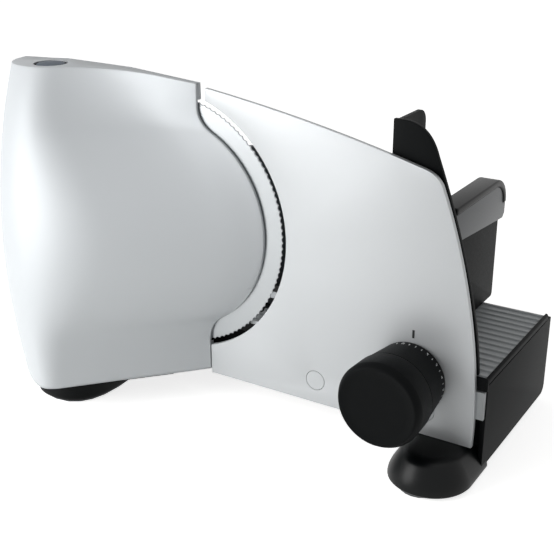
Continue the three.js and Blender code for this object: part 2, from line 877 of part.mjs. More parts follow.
function motorPinion() {
  const phase = motorTurn + Math.PI * (1 + 1 / motorTeeth);
  const teeth = prismXZ(gearShape(motorTeeth, motorModule, phase), outerFront, outerBack);
  const bore = rodY(motorShaftRadius + gap, 0, 0, outerFront - 1, outerBack + 1, coarse);
  return cut(teeth, bore).translate(motorX, 0, motorZ);
}

// Switch under the button on the housing's top
const buttonTop = crowned(buttonX, housingTop) + gap;
const buttonUnder = buttonTop - buttonHeight;
const stemLength = 11;
const stemEnd = buttonUnder - stemLength;
const switchTop = stemEnd - buttonTravel - gap;

function switchBody() {
  const half = switchWidth / 2;
  const deep = switchDepth / 2;
  const low = switchTop - switchHeight;
  return block(buttonX - half, buttonX + half, buttonY - deep, buttonY + deep, low, switchTop);
}

function button() {
  const edge = 0.8;
  const dish = 0.7;
  return turnZ([[0, stemEnd], [buttonStem, stemEnd], [buttonStem, buttonUnder], [buttonRadius, buttonUnder],
    [buttonRadius, buttonTop - edge], [buttonRadius - edge, buttonTop],
    [buttonRadius * 0.6, buttonTop - dish * 0.7], [0, buttonTop - dish]], buttonX, buttonY, medium);
}

function buttonRing() {
  const inner = buttonRadius + gap;
  const outer = buttonRadius + buttonRingWidth;
  const low = housingTop - topRound - housingWall - 3;
  const high = buttonTop - 1;
  const profile = [[inner, low], [outer, low], [outer, high], [inner, high - 0.6], [inner, low]];
  return turnZ(profile, buttonX, buttonY);
}

function buttonSpring() {
  const radius = buttonStem + gap + springWire;
  const low = stemEnd + springWire;
  const rise = buttonUnder - gap - springWire / 2 - low;
  class Helix extends THREE.Curve {
    getPoint(t) {
      const angle = 2 * Math.PI * springTurns * t;
      const x = buttonX + radius * Math.cos(angle);
      const y = buttonY + radius * Math.sin(angle);
      return new THREE.Vector3(x, y, low + rise * t);
    }
  }
  const wire = new THREE.Shape();
  wire.absarc(0, 0, springWire / 2, 0, 2 * Math.PI, false);
  const settings = {
    steps: springTurns * 8, extrudePath: new Helix(), curveSegments: 3, bevelEnabled: false,
  };
  return new THREE.ExtrudeGeometry(wire, settings);
}

// Stop plate with its guide rods and bracket
const plateBack = plateFront + plateThickness;

function stopPlate() {
  const arc = bladeRadius + plateArcGap;
  const arcEnd = Math.sqrt(arc ** 2 - plateLeft ** 2);
  const arcAngle = Math.atan2(arcEnd, plateLeft);
  const shape = new THREE.Shape();
  shape.moveTo(plateLeft, plateBottom);
  shape.lineTo(plateRight, plateBottom);
  const sideHeight = (share) => THREE.MathUtils.lerp(plateBottom, plateCornerZ, share);
  const side = [plateRight + 3, sideHeight(0.37), plateRight - 0.42 * cornerInset, sideHeight(0.75)];
  shape.bezierCurveTo(...side, plateCornerX, plateCornerZ);
  shape.quadraticCurveTo(plateCornerX - 3.5, plateCornerZ + 6.5, plateCornerX - 12, plateCornerZ + 8.4);
  const crest = [(plateCornerX + plateLeft) / 2, (plateCornerZ + plateTop) / 2 + 8];
  shape.quadraticCurveTo(...crest, plateLeft, plateTop);
  shape.lineTo(plateLeft, arcEnd);
  shape.absarc(0, 0, arc, arcAngle, -arcAngle, true);
  const sheet = prismXZ(shape, plateFront, plateBack, 20);
  const rodHoles = [rodNearX, rodFarX].map((x) => {
    return rodY(rodHead + gap, x, rodHeight, plateFront - 1, plateBack + 1);
  });
  const spindleHole = rodY(spindleRadius + gap, knobX, knobZ, plateFront - 1, plateBack + 1, coarse);
  return cut(sheet, ...rodHoles, spindleHole);
}

const bracketNear = plateBack + gap;

function plateBracket() {
  const low = rodHeight - bracketBelow;
  const high = rodHeight + bracketAbove;
  const bar = block(rodNearX - bracketOverhang, plateRight - bracketInset, bracketNear,
    bracketNear + bracketThickness, low, high);
  const tab = block(plateRight - bracketOverhang, baseRight + tabOverhang, bracketNear,
    bracketNear + tabThickness, deckTop - tabBelow, deckTop + tabAbove);
  const holes = [rodNearX, rodFarX].map((x) => {
    return rodY(rodRadius + gap, x, rodHeight, bracketNear - 1, bracketNear + bracketThickness + 1);
  });
  return cut(join(bar, tab), ...holes);
}

function plateRod(x) {
  const end = plateFront + rodLength;
  return turnY([[0, plateFront], [rodHead, plateFront], [rodHead, plateBack], [rodRadius, plateBack],
    [rodRadius, end - 1], [rodRadius - 1, end], [0, end]], x, rodHeight, medium);
}

function rodBush(x) {
  return tubeY(bushRadius, rodRadius + gap, x, rodHeight, baseNear - 2, baseNear - 2 + bushLength);
}

// Knob: a numbered dial and a wider cap on one spindle
const dialBack = plateFront - gap;
const dialFront = dialBack - dialLength;
const capBackFace = dialFront - gap;
const capFace = capBackFace - capLength;
const spindleEnd = capFace + 5;

function knobDial() {
  const bore = spindleRadius + gap;
  const profile = [[bore, dialFront], [dialRadius + dialFlare, dialFront], [dialRadius, dialBack], [bore, dialBack],
    [bore, dialFront]];
  return turnY(profile, knobX, knobZ, fine);
}

function knobCap() {
  const bore = spindleRadius + gap;
  const rim = capFace + capChamfer;
  const profile = [[0, capFace], [capFaceRadius, capFace], [capRadius - 0.8, rim - 1.4], [capRadius, rim],
    [capRadius - 0.6, capBackFace], [bore, capBackFace], [bore, spindleEnd - gap], [0, spindleEnd - gap]];
  return turnY(profile, knobX, knobZ, fine);
}

function knobSpindle() {
  return rodY(spindleRadius, knobX, knobZ, spindleEnd, spindleReach, coarse);
}

function thicknessNut() {
  const near = baseNear + baseWall;
  const half = 3 * spindleRadius;
  const top = knobZ + spindleRadius + 1.3;
  const body = block(knobX - half, knobX + half, near, near + nutLength, deckTop + gap, top);
  return cut(body, rodY(spindleRadius + gap, knobX, knobZ, near - 1, near + nutLength + 1, coarse));
}

// Carriage: a ribbed table on a rail, its wall and thumb guard
const tableBottom = tableTop - tableThickness;
const seat = tableTop + gap;

function carriageTable() {
  const valley = tableTop - ribHeight;
  const pitch = (tableFar - tableNear) / ribCount;
  const points = [[tableNear, tableBottom], [tableFar, tableBottom]];
  for (let rib = ribCount - 1; rib >= 0; rib -= 1) {
    const middle = tableNear + pitch * (rib + 0.5);
    points.push([middle + pitch / 2, valley], [middle + ribWidth / 2, valley]);
    points.push([middle + ribWidth / 2 - 0.4, tableTop], [middle - ribWidth / 2 + 0.4, tableTop]);
    points.push([middle - ribWidth / 2, valley]);
  }
  points.push([tableNear, valley]);
  return prismYZ(outline(points), tableLeft, tableRight);
}

function tableBead() {
  const left = tableRight + gap;
  const right = left + beadWidth;
  const low = tableBottom - 0.2;
  const high = low + beadHeight;
  const round = beadRound;
  const shape = new THREE.Shape();
  shape.moveTo(left, low);
  shape.lineTo(right - round, low);
  shape.absarc(right - round, low + round, round, -Math.PI / 2, 0, false);
  shape.lineTo(right, high - round);
  shape.absarc(right - round, high - round, round, 0, Math.PI / 2, false);
  shape.lineTo(left, high);
  return prismXZ(shape, tableNear, tableFar, 8);
}

function carriageWall() {
  const near = guardNear + guardSheet + gap;
  const round = 3;
  const shape = new THREE.Shape();
  shape.moveTo(near, seat);
  shape.lineTo(wallFar - round, seat);
  shape.absarc(wallFar - round, seat + round, round, -Math.PI / 2, 0, false);
  shape.lineTo(wallFar, wallTop);
  shape.lineTo(near, wallTop);
  return prismYZ(shape, wallX, wallX + wallThickness, 6);
}

function thumbGuard() {
  const right = plateRight - 1;
  const shape = new THREE.Shape();
  shape.moveTo(guardLeft, seat);
  shape.lineTo(right, seat);
  const inward = (share) => right - share * guardWidth;
  const upward = (share) => THREE.MathUtils.lerp(seat, guardTop, share);
  shape.bezierCurveTo(inward(0.04), upward(0.26), inward(0.29), upward(0.61), inward(0.54), upward(0.87));
  shape.quadraticCurveTo(inward(0.635), upward(0.993), inward(0.88), guardTop);
  shape.lineTo(guardLeft, guardTop);
  const sheet = prismXZ(shape, guardNear, guardNear + guardSheet, 12);
  const round = 8;
  const far = guardNear + flangeDepth;
  const side = new THREE.Shape();
  side.moveTo(guardNear + 1, seat);
  side.lineTo(far, seat);
  side.lineTo(far, guardTop - 1 - round);
  side.absarc(far - round, guardTop - 1 - round, round, 0, Math.PI / 2, false);
  side.lineTo(guardNear + 1, guardTop - 1);
  return join(sheet, prismYZ(side, guardLeft, guardLeft + guardSheet, 6));
}

const railBottom = deckTop + gap;
const railTop = railBottom + railHeight;

function guideRail() {
  const half = railWidth / 2;
  return block(baseLeft + railInset, baseRight - railInset, railY - half, railY + half, railBottom, railTop);
}

function runnerShoe(x) {
  const inner = railWidth / 2 + slideGap;
  const outer = inner + shoeWall;
  const body = block(x, x + shoeLength, railY - outer, railY + outer, railBottom + 1, tableBottom - gap);
  const channel = block(x - 1, x + shoeLength + 1, railY - inner, railY + inner,
    railBottom, railTop + slideGap);
  return cut(body, channel);
}

// Food holder: a saddle over the carriage wall, with a grip and a spiked press plate
const saddleLeft = wallX - slideGap - saddleWall;
const saddleRight = wallX + wallThickness + slideGap + saddleWall;

function holderSaddle() {
  const far = saddleFar - gripThickness - gap;
  const top = gripTop - gripThickness - gap;
  const round = gripRound - gripThickness - gap;
  const shape = new THREE.Shape();
  const shoulder = wallTop + slideGap - gap;
  shape.moveTo(saddleNear, saddleBottom + saddleSlope);
  shape.lineTo(saddleFar - saddleChamfer, saddleBottom);
  shape.lineTo(saddleFar, saddleBottom + saddleChamfer);
  shape.lineTo(saddleFar, shoulder);
  shape.lineTo(far, shoulder);
  shape.lineTo(far, top - round);
  shape.absarc(far - round, top - round, round, 0, Math.PI / 2, false);
  shape.lineTo(saddleNear, top);
  const body = prismYZ(shape, saddleLeft, saddleRight, 6);
  const slot = block(wallX - slideGap, wallX + wallThickness + slideGap, saddleNear - 1, saddleFar + 1,
    saddleBottom - 1, wallTop + slideGap);
  return cut(body, slot);
}

// The grip is a strap along the saddle's top and down its far end
function holderGrip() {
  const inner = gripRound - gripThickness;
  const turnY0 = saddleFar - gripRound;
  const turnZ0 = gripTop - gripRound;
  const low = wallTop + slideGap;
  const shape = new THREE.Shape();
  shape.moveTo(saddleNear, gripTop - gripThickness);
  shape.lineTo(turnY0, gripTop - gripThickness);
  shape.absarc(turnY0, turnZ0, inner, Math.PI / 2, 0, true);
  shape.lineTo(saddleFar - gripThickness, low);
  shape.lineTo(saddleFar, low);
  shape.lineTo(saddleFar, turnZ0);
  shape.absarc(turnY0, turnZ0, gripRound, 0, Math.PI / 2, false);
  shape.lineTo(saddleNear, gripTop);
  return prismYZ(shape, saddleLeft - gripLip, saddleRight + gripLip, 6);
}

function pressPlate() {
  const round = 14;
  const low = seat + 4;
  const shape = new THREE.Shape();
  shape.moveTo(pressLeft, low);
  shape.lineTo(pressRight, low);
  shape.lineTo(pressRight, pressTop - round);
  shape.absarc(pressRight - round, pressTop - round, round, 0, Math.PI / 2, false);
  shape.lineTo(pressLeft + round, pressTop);
  shape.absarc(pressLeft + round, pressTop - round, round, Math.PI / 2, Math.PI, false);
  const sheet = prismXZ(shape, pressNear, pressNear + pressThickness, 6);
  const high = gripTop - gripThickness - 2 * gap;
  const web = block(pressRight - 12, pressRight, pressNear + 1, armFar, saddleBottom, high);
  const arm = block(pressRight - 1, saddleLeft - gap, armNear, armFar, saddleBottom, high);
  const spikes = [];
  for (const x of [0.2, 0.4, 0.6, 0.8]) {
    for (const z of [0.2, 0.45, 0.7]) {
      const spike = new THREE.ConeGeometry(spikeRadius, spikeLength + 1, 8).rotateX(Math.PI);
      spikes.push(spike.translate(
        THREE.MathUtils.lerp(pressLeft, pressRight, x),
        pressNear - spikeLength / 2 + 0.5,
        THREE.MathUtils.lerp(low, pressTop, z),
      ));
    }
  }
  return join(sheet, web, arm, ...spikes);
}

// Fixed pieces
add('motor_housing', motorHousing(), looks.silver());
add('gear_plate', gearPlate(), looks.zinc());
add('blade_guard', bladeGuard(), looks.silver());
screwPlaces.forEach((place, i) => add(`guard_screw_${i + 1}`, guardScrew(place), looks.zinc()));
add('base_frame', baseFrame(), looks.black());
add('end_panel', endPanel(), looks.black());
add('front_foot', bellFoot(), looks.black());
add('front_pad', roundPad(bellPadX, bellPadY, bellPadRadius), looks.rubber());
add('left_foot', leftFoot(), looks.black());
add('left_pad', leftPad(), looks.rubber());
for (const [side, x] of Object.entries(rearPlaces)) {
  add(`rear_${side}_foot`, rearFoot(x), looks.black());
  add(`rear_${side}_pad`, roundPad(x, rearY, rearFootRadius - 2), looks.rubber());
}
add('cord_gland', cordGland(), looks.black());
add('guide_rail', guideRail(), looks.zinc());
add('thickness_nut', thicknessNut(), looks.acetal());
add('rod_bush_1', rodBush(rodNearX), looks.acetal());
add('rod_bush_2', rodBush(rodFarX), looks.acetal());

// Drive train and motor
add('hub_bush', tubeY(hubBushRadius, shaftRadius + gap, 0, 0, gearPlateFront, gearPlateBack), looks.brass());
add('drive_gear', bladeGear(), looks.acetal());
add('blade', blade(), looks.steel());
add('blade_lock', bladeLock(), looks.black());
add('idler_pin', idlerPin(), looks.steel());
add('idler_gear', idlerGear(), looks.acetal());
add('motor_can', motorCan(), looks.zinc());
add('motor_cap', motorCap(), looks.black());
add('motor_bearing_back', bearing(canBack - endWall - bearingLength / 2, canBack), looks.brass());
add('motor_bearing_front', bearing(capFront, capBack), looks.brass());
add('magnet_upper', magnet(Math.PI / 2), looks.magnet());
add('magnet_lower', magnet(-Math.PI / 2), looks.magnet());
add('brush_left', brush(-1), looks.magnet());
add('brush_right', brush(1), looks.magnet());
add('motor_shaft', motorShaft(), looks.steel());
add('armature', armature(), looks.copper());
add('commutator', commutator(), looks.copper());
add('motor_pinion', motorPinion(), looks.brass());

// Switch and button
add('switch_body', switchBody(), looks.black());
add('button_ring', buttonRing(), looks.black());
add('button', button(), looks.buttonBlue());
add('button_spring', buttonSpring(), looks.steel());

// Stop plate and knob
add('stop_plate', stopPlate(), looks.plateSilver());
add('plate_bracket', plateBracket(), looks.tableGrey());
add('plate_rod_1', plateRod(rodNearX), looks.plateSilver());
add('plate_rod_2', plateRod(rodFarX), looks.plateSilver());
add('knob_dial', knobDial(), looks.knobBlack());
add('knob_cap', knobCap(), looks.knobBlack());
add('knob_spindle', knobSpindle(), looks.steel());

// Carriage and food holder
add('carriage_table', carriageTable(), looks.tableGrey());
add('table_bead', tableBead(), looks.black());
add('carriage_wall', carriageWall(), looks.black());
add('thumb_guard', thumbGuard(), looks.black());
add('runner_shoe_1', runnerShoe(tableLeft + 12), looks.acetal());
add('runner_shoe_2', runnerShoe(tableRight - shoeInset - shoeLength), looks.acetal());
add('holder_saddle', holderSaddle(), looks.holderGrey());
add('holder_grip', holderGrip(), looks.black());
add('press_plate', pressPlate(), looks.holderGrey());

// The origin goes to the worktop, under the middle of the slicer's box
const box = new THREE.Box3().setFromObject(slicer);
slicer.position.set(-(box.min.x + box.max.x) / 2, -(box.min.y + box.max.y) / 2, -box.min.z);

export default slicer;
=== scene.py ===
"""Food slicer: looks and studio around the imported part."""

import json
import math

import bmesh
import bpy
from mathutils import Matrix, Vector
from mathutils.geometry import interpolate_bezier


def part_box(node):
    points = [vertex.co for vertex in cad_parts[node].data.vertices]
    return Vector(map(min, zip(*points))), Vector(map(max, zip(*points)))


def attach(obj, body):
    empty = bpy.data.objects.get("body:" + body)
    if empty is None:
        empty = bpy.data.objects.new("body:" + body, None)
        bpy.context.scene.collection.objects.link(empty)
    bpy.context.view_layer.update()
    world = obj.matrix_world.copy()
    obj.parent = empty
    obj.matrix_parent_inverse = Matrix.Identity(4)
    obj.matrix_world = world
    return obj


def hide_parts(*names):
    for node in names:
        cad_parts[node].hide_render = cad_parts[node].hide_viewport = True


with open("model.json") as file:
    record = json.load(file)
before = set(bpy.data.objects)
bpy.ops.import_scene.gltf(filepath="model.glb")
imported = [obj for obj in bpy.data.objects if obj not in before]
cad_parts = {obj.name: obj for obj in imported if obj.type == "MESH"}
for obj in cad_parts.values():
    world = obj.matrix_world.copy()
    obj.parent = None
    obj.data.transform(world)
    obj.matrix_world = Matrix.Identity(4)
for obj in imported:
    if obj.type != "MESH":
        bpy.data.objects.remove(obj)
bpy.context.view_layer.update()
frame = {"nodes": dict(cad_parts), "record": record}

bl_info = {
    "name": "Food slicer looks",
    "version": (1, 0, 0),
    "blender": (4, 5, 0),
    "location": "3D View > Sidebar > Slicer",
    "description": "Finishes, finer shapes and a studio for the packed food slicer",
    "category": "Object",
}

MM = 0.001
JOINTS = {joint["name"]: joint for joint in frame["record"]["behaviour"]["joints"]}

# Everything below is measured in millimetres from the middle of the blade
CENTRE = Vector(JOINTS["blade_spin"]["pos_m"])


def node_span(node):
    """A node's lowest and highest corners, in millimetres from the middle of the blade."""
    low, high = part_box(node)
    return (Vector(low) - CENTRE) / MM, (Vector(high) - CENTRE) / MM


def linear(code):
    """Turn an sRGB hex value into the linear colour that Blender works in."""
    parts = [int(code[i:i + 2], 16) / 255 for i in (1, 3, 5)]
    return tuple(v / 12.92 if v <= 0.04045 else ((v + 0.055) / 1.055) ** 2.4 for v in parts)


def lerp(a, b, share):
    return a + (b - a) * share


def clamp(value):
    return min(max(value, 0.0), 1.0)


class SlicerSizes(bpy.types.PropertyGroup):
    """Sizes of the finer shapes, in millimetres, and counts."""

    edge_round: bpy.props.FloatProperty(
        name="Edge rounding", description="Radius on the edges of moulded pieces, in mm",
        default=0.7, min=0.1, max=2.0)
    plate_round: bpy.props.FloatProperty(
        name="Plate edge", description="Radius on the stop plate's edges, in mm",
        default=0.55, min=0.1, max=1.2)
    housing_wall: bpy.props.FloatProperty(
        name="Housing wall", description="Thickness of the motor housing's shell, in mm",
        default=1.6, min=1.0, max=3.0)
    tooth_count: bpy.props.IntProperty(
        name="Blade teeth", description="Scallops ground round the blade", default=132, min=20, max=240)
    tooth_depth: bpy.props.FloatProperty(
        name="Tooth depth", description="Depth of the scallops, in mm", default=0.9, min=0.2, max=3.0)
    dial_steps: bpy.props.IntProperty(
        name="Dial steps", description="Millimetres of slice on the dial", default=15, min=5, max=20)
    digit_height: bpy.props.FloatProperty(
        name="Digit height", description="Height of the dial's digits, in mm", default=2.6, min=1.0, max=6.0)


class SlicerColours(bpy.types.PropertyGroup):
    """Colours of the finishes."""

    silver: bpy.props.FloatVectorProperty(
        name="Silver lacquer", description="Colour of the motor housing and blade guard", subtype="COLOR",
        default=linear("#d0d4d7"), min=0.0, max=1.0)
    plate: bpy.props.FloatVectorProperty(
        name="Stop plate", description="Colour of the anodised sheet", subtype="COLOR",
        default=linear("#cbced0"), min=0.0, max=1.0)
    black: bpy.props.FloatVectorProperty(
        name="Black ABS", description="Colour of the black mouldings", subtype="COLOR",
        default=linear("#050708"), min=0.0, max=1.0)
    grey: bpy.props.FloatVectorProperty(
        name="Grey ABS", description="Colour of the carriage table and plate bracket", subtype="COLOR",
        default=linear("#c8ccce"), min=0.0, max=1.0)
    dark: bpy.props.FloatVectorProperty(
        name="Dark grey ABS", description="Colour of the food holder's saddle and press plate",
        subtype="COLOR", default=linear("#404549"), min=0.0, max=1.0)
    button: bpy.props.FloatVectorProperty(
        name="Button", description="Colour of the push button", subtype="COLOR",
        default=linear("#5f6975"), min=0.0, max=1.0)


class SlicerStudio(bpy.types.PropertyGroup):
    """Lights, floor and camera."""

    key_power: bpy.props.FloatProperty(
        name="Key light", description="Power of the large light on the left",
        default=2.6, min=0.0, max=200.0, unit="POWER")
    top_power: bpy.props.FloatProperty(
        name="Top light", description="Power of the light overhead",
        default=1.3, min=0.0, max=200.0, unit="POWER")
    sky_left: bpy.props.FloatProperty(
        name="Left side", description="Strength of the light from the left",
        default=0.5, min=0.0, max=2.0)
    sky_right: bpy.props.FloatProperty(
        name="Right side", description="Strength of the light from the right",
        default=0.05, min=0.0, max=2.0)
    floor_glow: bpy.props.FloatProperty(
        name="Floor glow", description="What the floor adds to its own shade to read as white",
        default=0.8, min=0.0, max=1.0)
    floor_colour: bpy.props.FloatVectorProperty(
        name="Floor", description="Colour of the floor", subtype="COLOR",
        default=linear("#f4f4f2"), min=0.0, max=1.0)
    lens: bpy.props.FloatProperty(
        name="Lens", description="Focal length of the camera",
        default=67.2, min=20.0, max=200.0, unit="CAMERA")


def add_node(tree, kind, inputs=None, **settings):
    """Add one shader node with its settings, input values and links."""
    node = tree.nodes.new(kind)
    for name, value in settings.items():
        setattr(node, name, value)
    for name, value in (inputs or {}).items():
        if isinstance(value, bpy.types.NodeSocket):
            tree.links.new(value, node.inputs[name])
        else:
            node.inputs[name].default_value = value
    return node


def start_material(name, colour, **values):
    """A material with its Principled shader set; returns the material, its tree and the shader."""
    material = bpy.data.materials.new(name)
    material.use_nodes = True
    tree = material.node_tree
    shader = tree.nodes["Principled BSDF"]
    shader.inputs["Base Color"].default_value = (*colour, 1.0)
    for key, value in values.items():
        shader.inputs[key.replace("_", " ").title()].default_value = value
    return material, tree, shader


def add_grain(tree, shader, grain_mm, height_mm, stretch=(1.0, 1.0, 1.0)):
    """Fine surface grain as a bump: grain_mm is its width, height_mm its relief."""
    place = add_node(tree, "ShaderNodeTexCoord")
    turn = add_node(tree, "ShaderNodeMapping", {"Vector": place.outputs["Object"], "Scale": stretch})
    noise = add_node(tree, "ShaderNodeTexNoise", {
        "Vector": turn.outputs["Vector"], "Scale": 1.0 / (grain_mm * MM), "Detail": 2.0})
    bump = add_node(tree, "ShaderNodeBump", {
        "Height": noise.outputs["Fac"], "Distance": height_mm * MM, "Strength": 1.0})
    tree.links.new(bump.outputs["Normal"], shader.inputs["Normal"])
    return noise


def add_roughness(tree, shader, noise, low, high):
    """Let the grain vary the gloss between two roughness values."""
    spread = add_node(tree, "ShaderNodeMapRange", {
        "Value": noise.outputs["Fac"], "From Min": 0.3, "From Max": 0.7, "To Min": low, "To Max": high})
    tree.links.new(spread.outputs["Result"], shader.inputs["Roughness"])


# Refractive index of ABS
ABS_IOR = 1.53


def silver_lacquer(colours):
    """Silver lacquer sprayed on moulded ABS: a soft satin with very fine flakes in it."""
    material, tree, shader = start_material(
        "silver_lacquer_on_abs", colours.silver, metallic=0.15, roughness=0.5)
    shader.inputs["IOR"].default_value = 1.5
    # Flakes are some 0.03 mm wide; drawn at 0.5 mm so that they show as a faint tooth
    noise = add_grain(tree, shader, grain_mm=0.5, height_mm=0.004)
    add_roughness(tree, shader, noise, 0.48, 0.56)
    return material


def anodised_sheet(colours):
    """Anodised aluminium sheet, bead blasted: pale, even and silky, with a slow gradient of light."""
    material, tree, shader = start_material("anodised_aluminium", colours.plate, metallic=0.3, roughness=0.45)
    noise = add_grain(tree, shader, grain_mm=0.4, height_mm=0.003)
    add_roughness(tree, shader, noise, 0.41, 0.49)
    return material


def black_abs(colours):
    """Black moulded ABS with a spark-eroded texture: deep black with broad soft highlights."""
    material, tree, shader = start_material("black_abs", colours.black, roughness=0.55)
    shader.inputs["Specular IOR Level"].default_value = 0.07
    shader.inputs["IOR"].default_value = ABS_IOR
    noise = add_grain(tree, shader, grain_mm=0.6, height_mm=0.012)
    add_roughness(tree, shader, noise, 0.5, 0.6)
    return material


def smooth_black(colours):
    """Black moulded ABS from a polished tool: the same black, with a clearer highlight on round forms."""
    material, tree, shader = start_material("smooth_black_abs", colours.black, roughness=0.34)
    shader.inputs["Specular IOR Level"].default_value = 0.17
    shader.inputs["IOR"].default_value = ABS_IOR
    noise = add_grain(tree, shader, grain_mm=0.8, height_mm=0.004)
    add_roughness(tree, shader, noise, 0.3, 0.38)
    return material


def grey_abs(colours):
    """Light grey moulded ABS: matt enough for food to slide on, with a little sheen on the ribs."""
    material, tree, shader = start_material("grey_abs", colours.grey, roughness=0.4)
    shader.inputs["IOR"].default_value = ABS_IOR
    noise = add_grain(tree, shader, grain_mm=0.7, height_mm=0.01)
    add_roughness(tree, shader, noise, 0.36, 0.46)
    return material


def dark_abs(colours):
    """Dark grey moulded ABS: smooth, with a clear satin highlight along its edges."""
    material, tree, shader = start_material("dark_grey_abs", colours.dark, roughness=0.36)
    shader.inputs["IOR"].default_value = ABS_IOR
    noise = add_grain(tree, shader, grain_mm=0.7, height_mm=0.008)
    add_roughness(tree, shader, noise, 0.32, 0.4)
    return material


def button_abs(colours):
    """Blue-grey moulded ABS with a satin face: the one coloured cap, that a finger finds."""
    material, tree, shader = start_material("button_abs", colours.button, roughness=0.5)
    shader.inputs["Specular IOR Level"].default_value = 0.1
    shader.inputs["IOR"].default_value = ABS_IOR
    add_grain(tree, shader, grain_mm=0.8, height_mm=0.003)
    return material


def pad_rubber(colours):
    """Grey thermoplastic rubber: dull and slightly dusty."""
    material, tree, shader = start_material("pad_rubber", linear("#5a5d60"), roughness=0.75)
    noise = add_grain(tree, shader, grain_mm=0.5, height_mm=0.02)
    add_roughness(tree, shader, noise, 0.68, 0.82)
    return material


def ground_steel(colours):
    """Stainless steel, ground in rings: bright, with the grinding lines round the disc."""
    material, tree, shader = start_material(
        "ground_stainless_steel", linear("#a4a7a9"), metallic=1.0, roughness=0.34)
    place = add_node(tree, "ShaderNodeTexCoord")
    # Grinding lines are about 0.1 mm apart; drawn at 0.5 mm so that they show
    line_mm, relief_mm, wave_rate = 0.5, 0.003, 20
    hub = add_node(tree, "ShaderNodeMapping", {
        "Vector": place.outputs["Object"], "Location": tuple(-v for v in CENTRE)})
    rings = add_node(tree, "ShaderNodeTexWave", {
        "Vector": hub.outputs["Vector"], "Scale": 2 * math.pi / (wave_rate * line_mm * MM),
        "Distortion": 3.0, "Detail": 3.0}, wave_type="RINGS", rings_direction="Y")
    bump = add_node(tree, "ShaderNodeBump", {
        "Height": rings.outputs["Fac"], "Distance": relief_mm * MM, "Strength": 1.0})
    tree.links.new(bump.outputs["Normal"], shader.inputs["Normal"])
    return material


def zinc_plate(colours):
    """Zinc-plated steel sheet: dull grey metal with a cloudy spangle."""
    material, tree, shader = start_material(
        "zinc_plated_steel", linear("#aeb2b5"), metallic=1.0, roughness=0.45)
    noise = add_grain(tree, shader, grain_mm=3.0, height_mm=0.01)
    add_roughness(tree, shader, noise, 0.36, 0.54)
    return material


def sintered_bronze(colours):
    """Sintered bronze: warm brown metal, open pored and oily."""
    material, tree, shader = start_material(
        "sintered_bronze", linear("#b08a4a"), metallic=1.0, roughness=0.5)
    noise = add_grain(tree, shader, grain_mm=0.3, height_mm=0.02)
    add_roughness(tree, shader, noise, 0.42, 0.58)
    return material


def enamelled_copper(colours):
    """Enamelled copper wire: dark orange metal under clear varnish."""
    material, tree, shader = start_material(
        "enamelled_copper", linear("#b4622f"), metallic=1.0, roughness=0.3)
    # Wire of 0.4 mm lies along the shaft
    add_grain(tree, shader, grain_mm=0.4, height_mm=0.08, stretch=(1.0, 0.02, 1.0))
    return material


def ferrite(colours):
    """Ferrite and carbon: near black, dry and fine grained."""
    material, tree, shader = start_material("ferrite", linear("#2f3033"), roughness=0.62)
    noise = add_grain(tree, shader, grain_mm=0.4, height_mm=0.015)
    add_roughness(tree, shader, noise, 0.55, 0.7)
    return material


def acetal(colours):
    """Natural acetal: milky white and waxy."""
    material, tree, shader = start_material("natural_acetal", linear("#e6e3da"), roughness=0.38)
    shader.inputs["IOR"].default_value = 1.48
    add_grain(tree, shader, grain_mm=0.8, height_mm=0.006)
    return material


def white_print(colours):
    """White pad-printing ink: flat and opaque."""
    material, tree, shader = start_material("white_print", linear("#e9ebec"), roughness=0.55)
    add_grain(tree, shader, grain_mm=0.2, height_mm=0.003)
    return material


def black_print(colours):
    """Black pad-printing ink: flat and opaque."""
    material, tree, shader = start_material("black_print", linear("#141517"), roughness=0.55)
    add_grain(tree, shader, grain_mm=0.2, height_mm=0.003)
    return material


# The finish of each material slot in the record
FINISHES = {
    "silver_plastic": silver_lacquer,
    "plate_aluminium": anodised_sheet,
    "black_plastic": black_abs,
    "grey_plastic": grey_abs,
    "dark_grey_plastic": dark_abs,
    "button_plastic": button_abs,
    "pad_rubber": pad_rubber,
    "blade_steel": ground_steel,
    "zinc_steel": zinc_plate,
    "bearing_bronze": sintered_bronze,
    "copper_winding": enamelled_copper,
    "magnet_ferrite": ferrite,
    "acetal": acetal,
}
OTHER_FINISHES = {"smooth_black": smooth_black, "white_print": white_print, "black_print": black_print}
SLOT_OF = {part["node"]: part["material_slot"] for part in frame["record"]["subparts"]}
BODY_OF = {node: body for body, nodes in frame["record"]["behaviour"]["bodies"].items() for node in nodes}


def finish_for(slot):
    """The material of a slot, or another finish, made the first time it is asked for."""
    maker = FINISHES.get(slot) or OTHER_FINISHES[slot]
    key = "slicer_" + slot
    if key not in bpy.context.scene:
        bpy.context.scene[key] = maker(bpy.context.scene.slicer_colours).name
    return bpy.data.materials[bpy.context.scene[key]]


def loop_of(bm, points, closed=True):
    """Add a line of edges through points, in millimetres."""
    verts = [bm.verts.new(point) for point in points]
    first = 0 if closed else 1
    return [bm.edges.new((verts[i - 1], verts[i])) for i in range(first, len(verts))]


def skin(bm, rows, closed=True):
    """Extrude the first row of points through the others; returns the edges of the first and last rows."""
    order = bm.verts.layers.int.new("order")
    verts = [bm.verts.new(point) for point in rows[0]]
    for i, vert in enumerate(verts):
        vert[order] = i
    first = edges = [bm.edges.new((verts[i - 1], verts[i])) for i in range(0 if closed else 1, len(verts))]
    for row in rows[1:]:
        made = bmesh.ops.extrude_edge_only(bm, edges=edges)["geom"]
        fresh = {item for item in made if isinstance(item, bmesh.types.BMVert)}
        for vert in fresh:
            vert.co = row[vert[order]]
        edges = [edge for edge in {edge for vert in fresh for edge in vert.link_edges}
                 if edge.verts[0] in fresh and edge.verts[1] in fresh]
    return first, edges


def fold_angle(edge):
    """How sharply the two faces at an edge meet; 0 at an open edge."""
    return abs(edge.calc_face_angle(0.0))


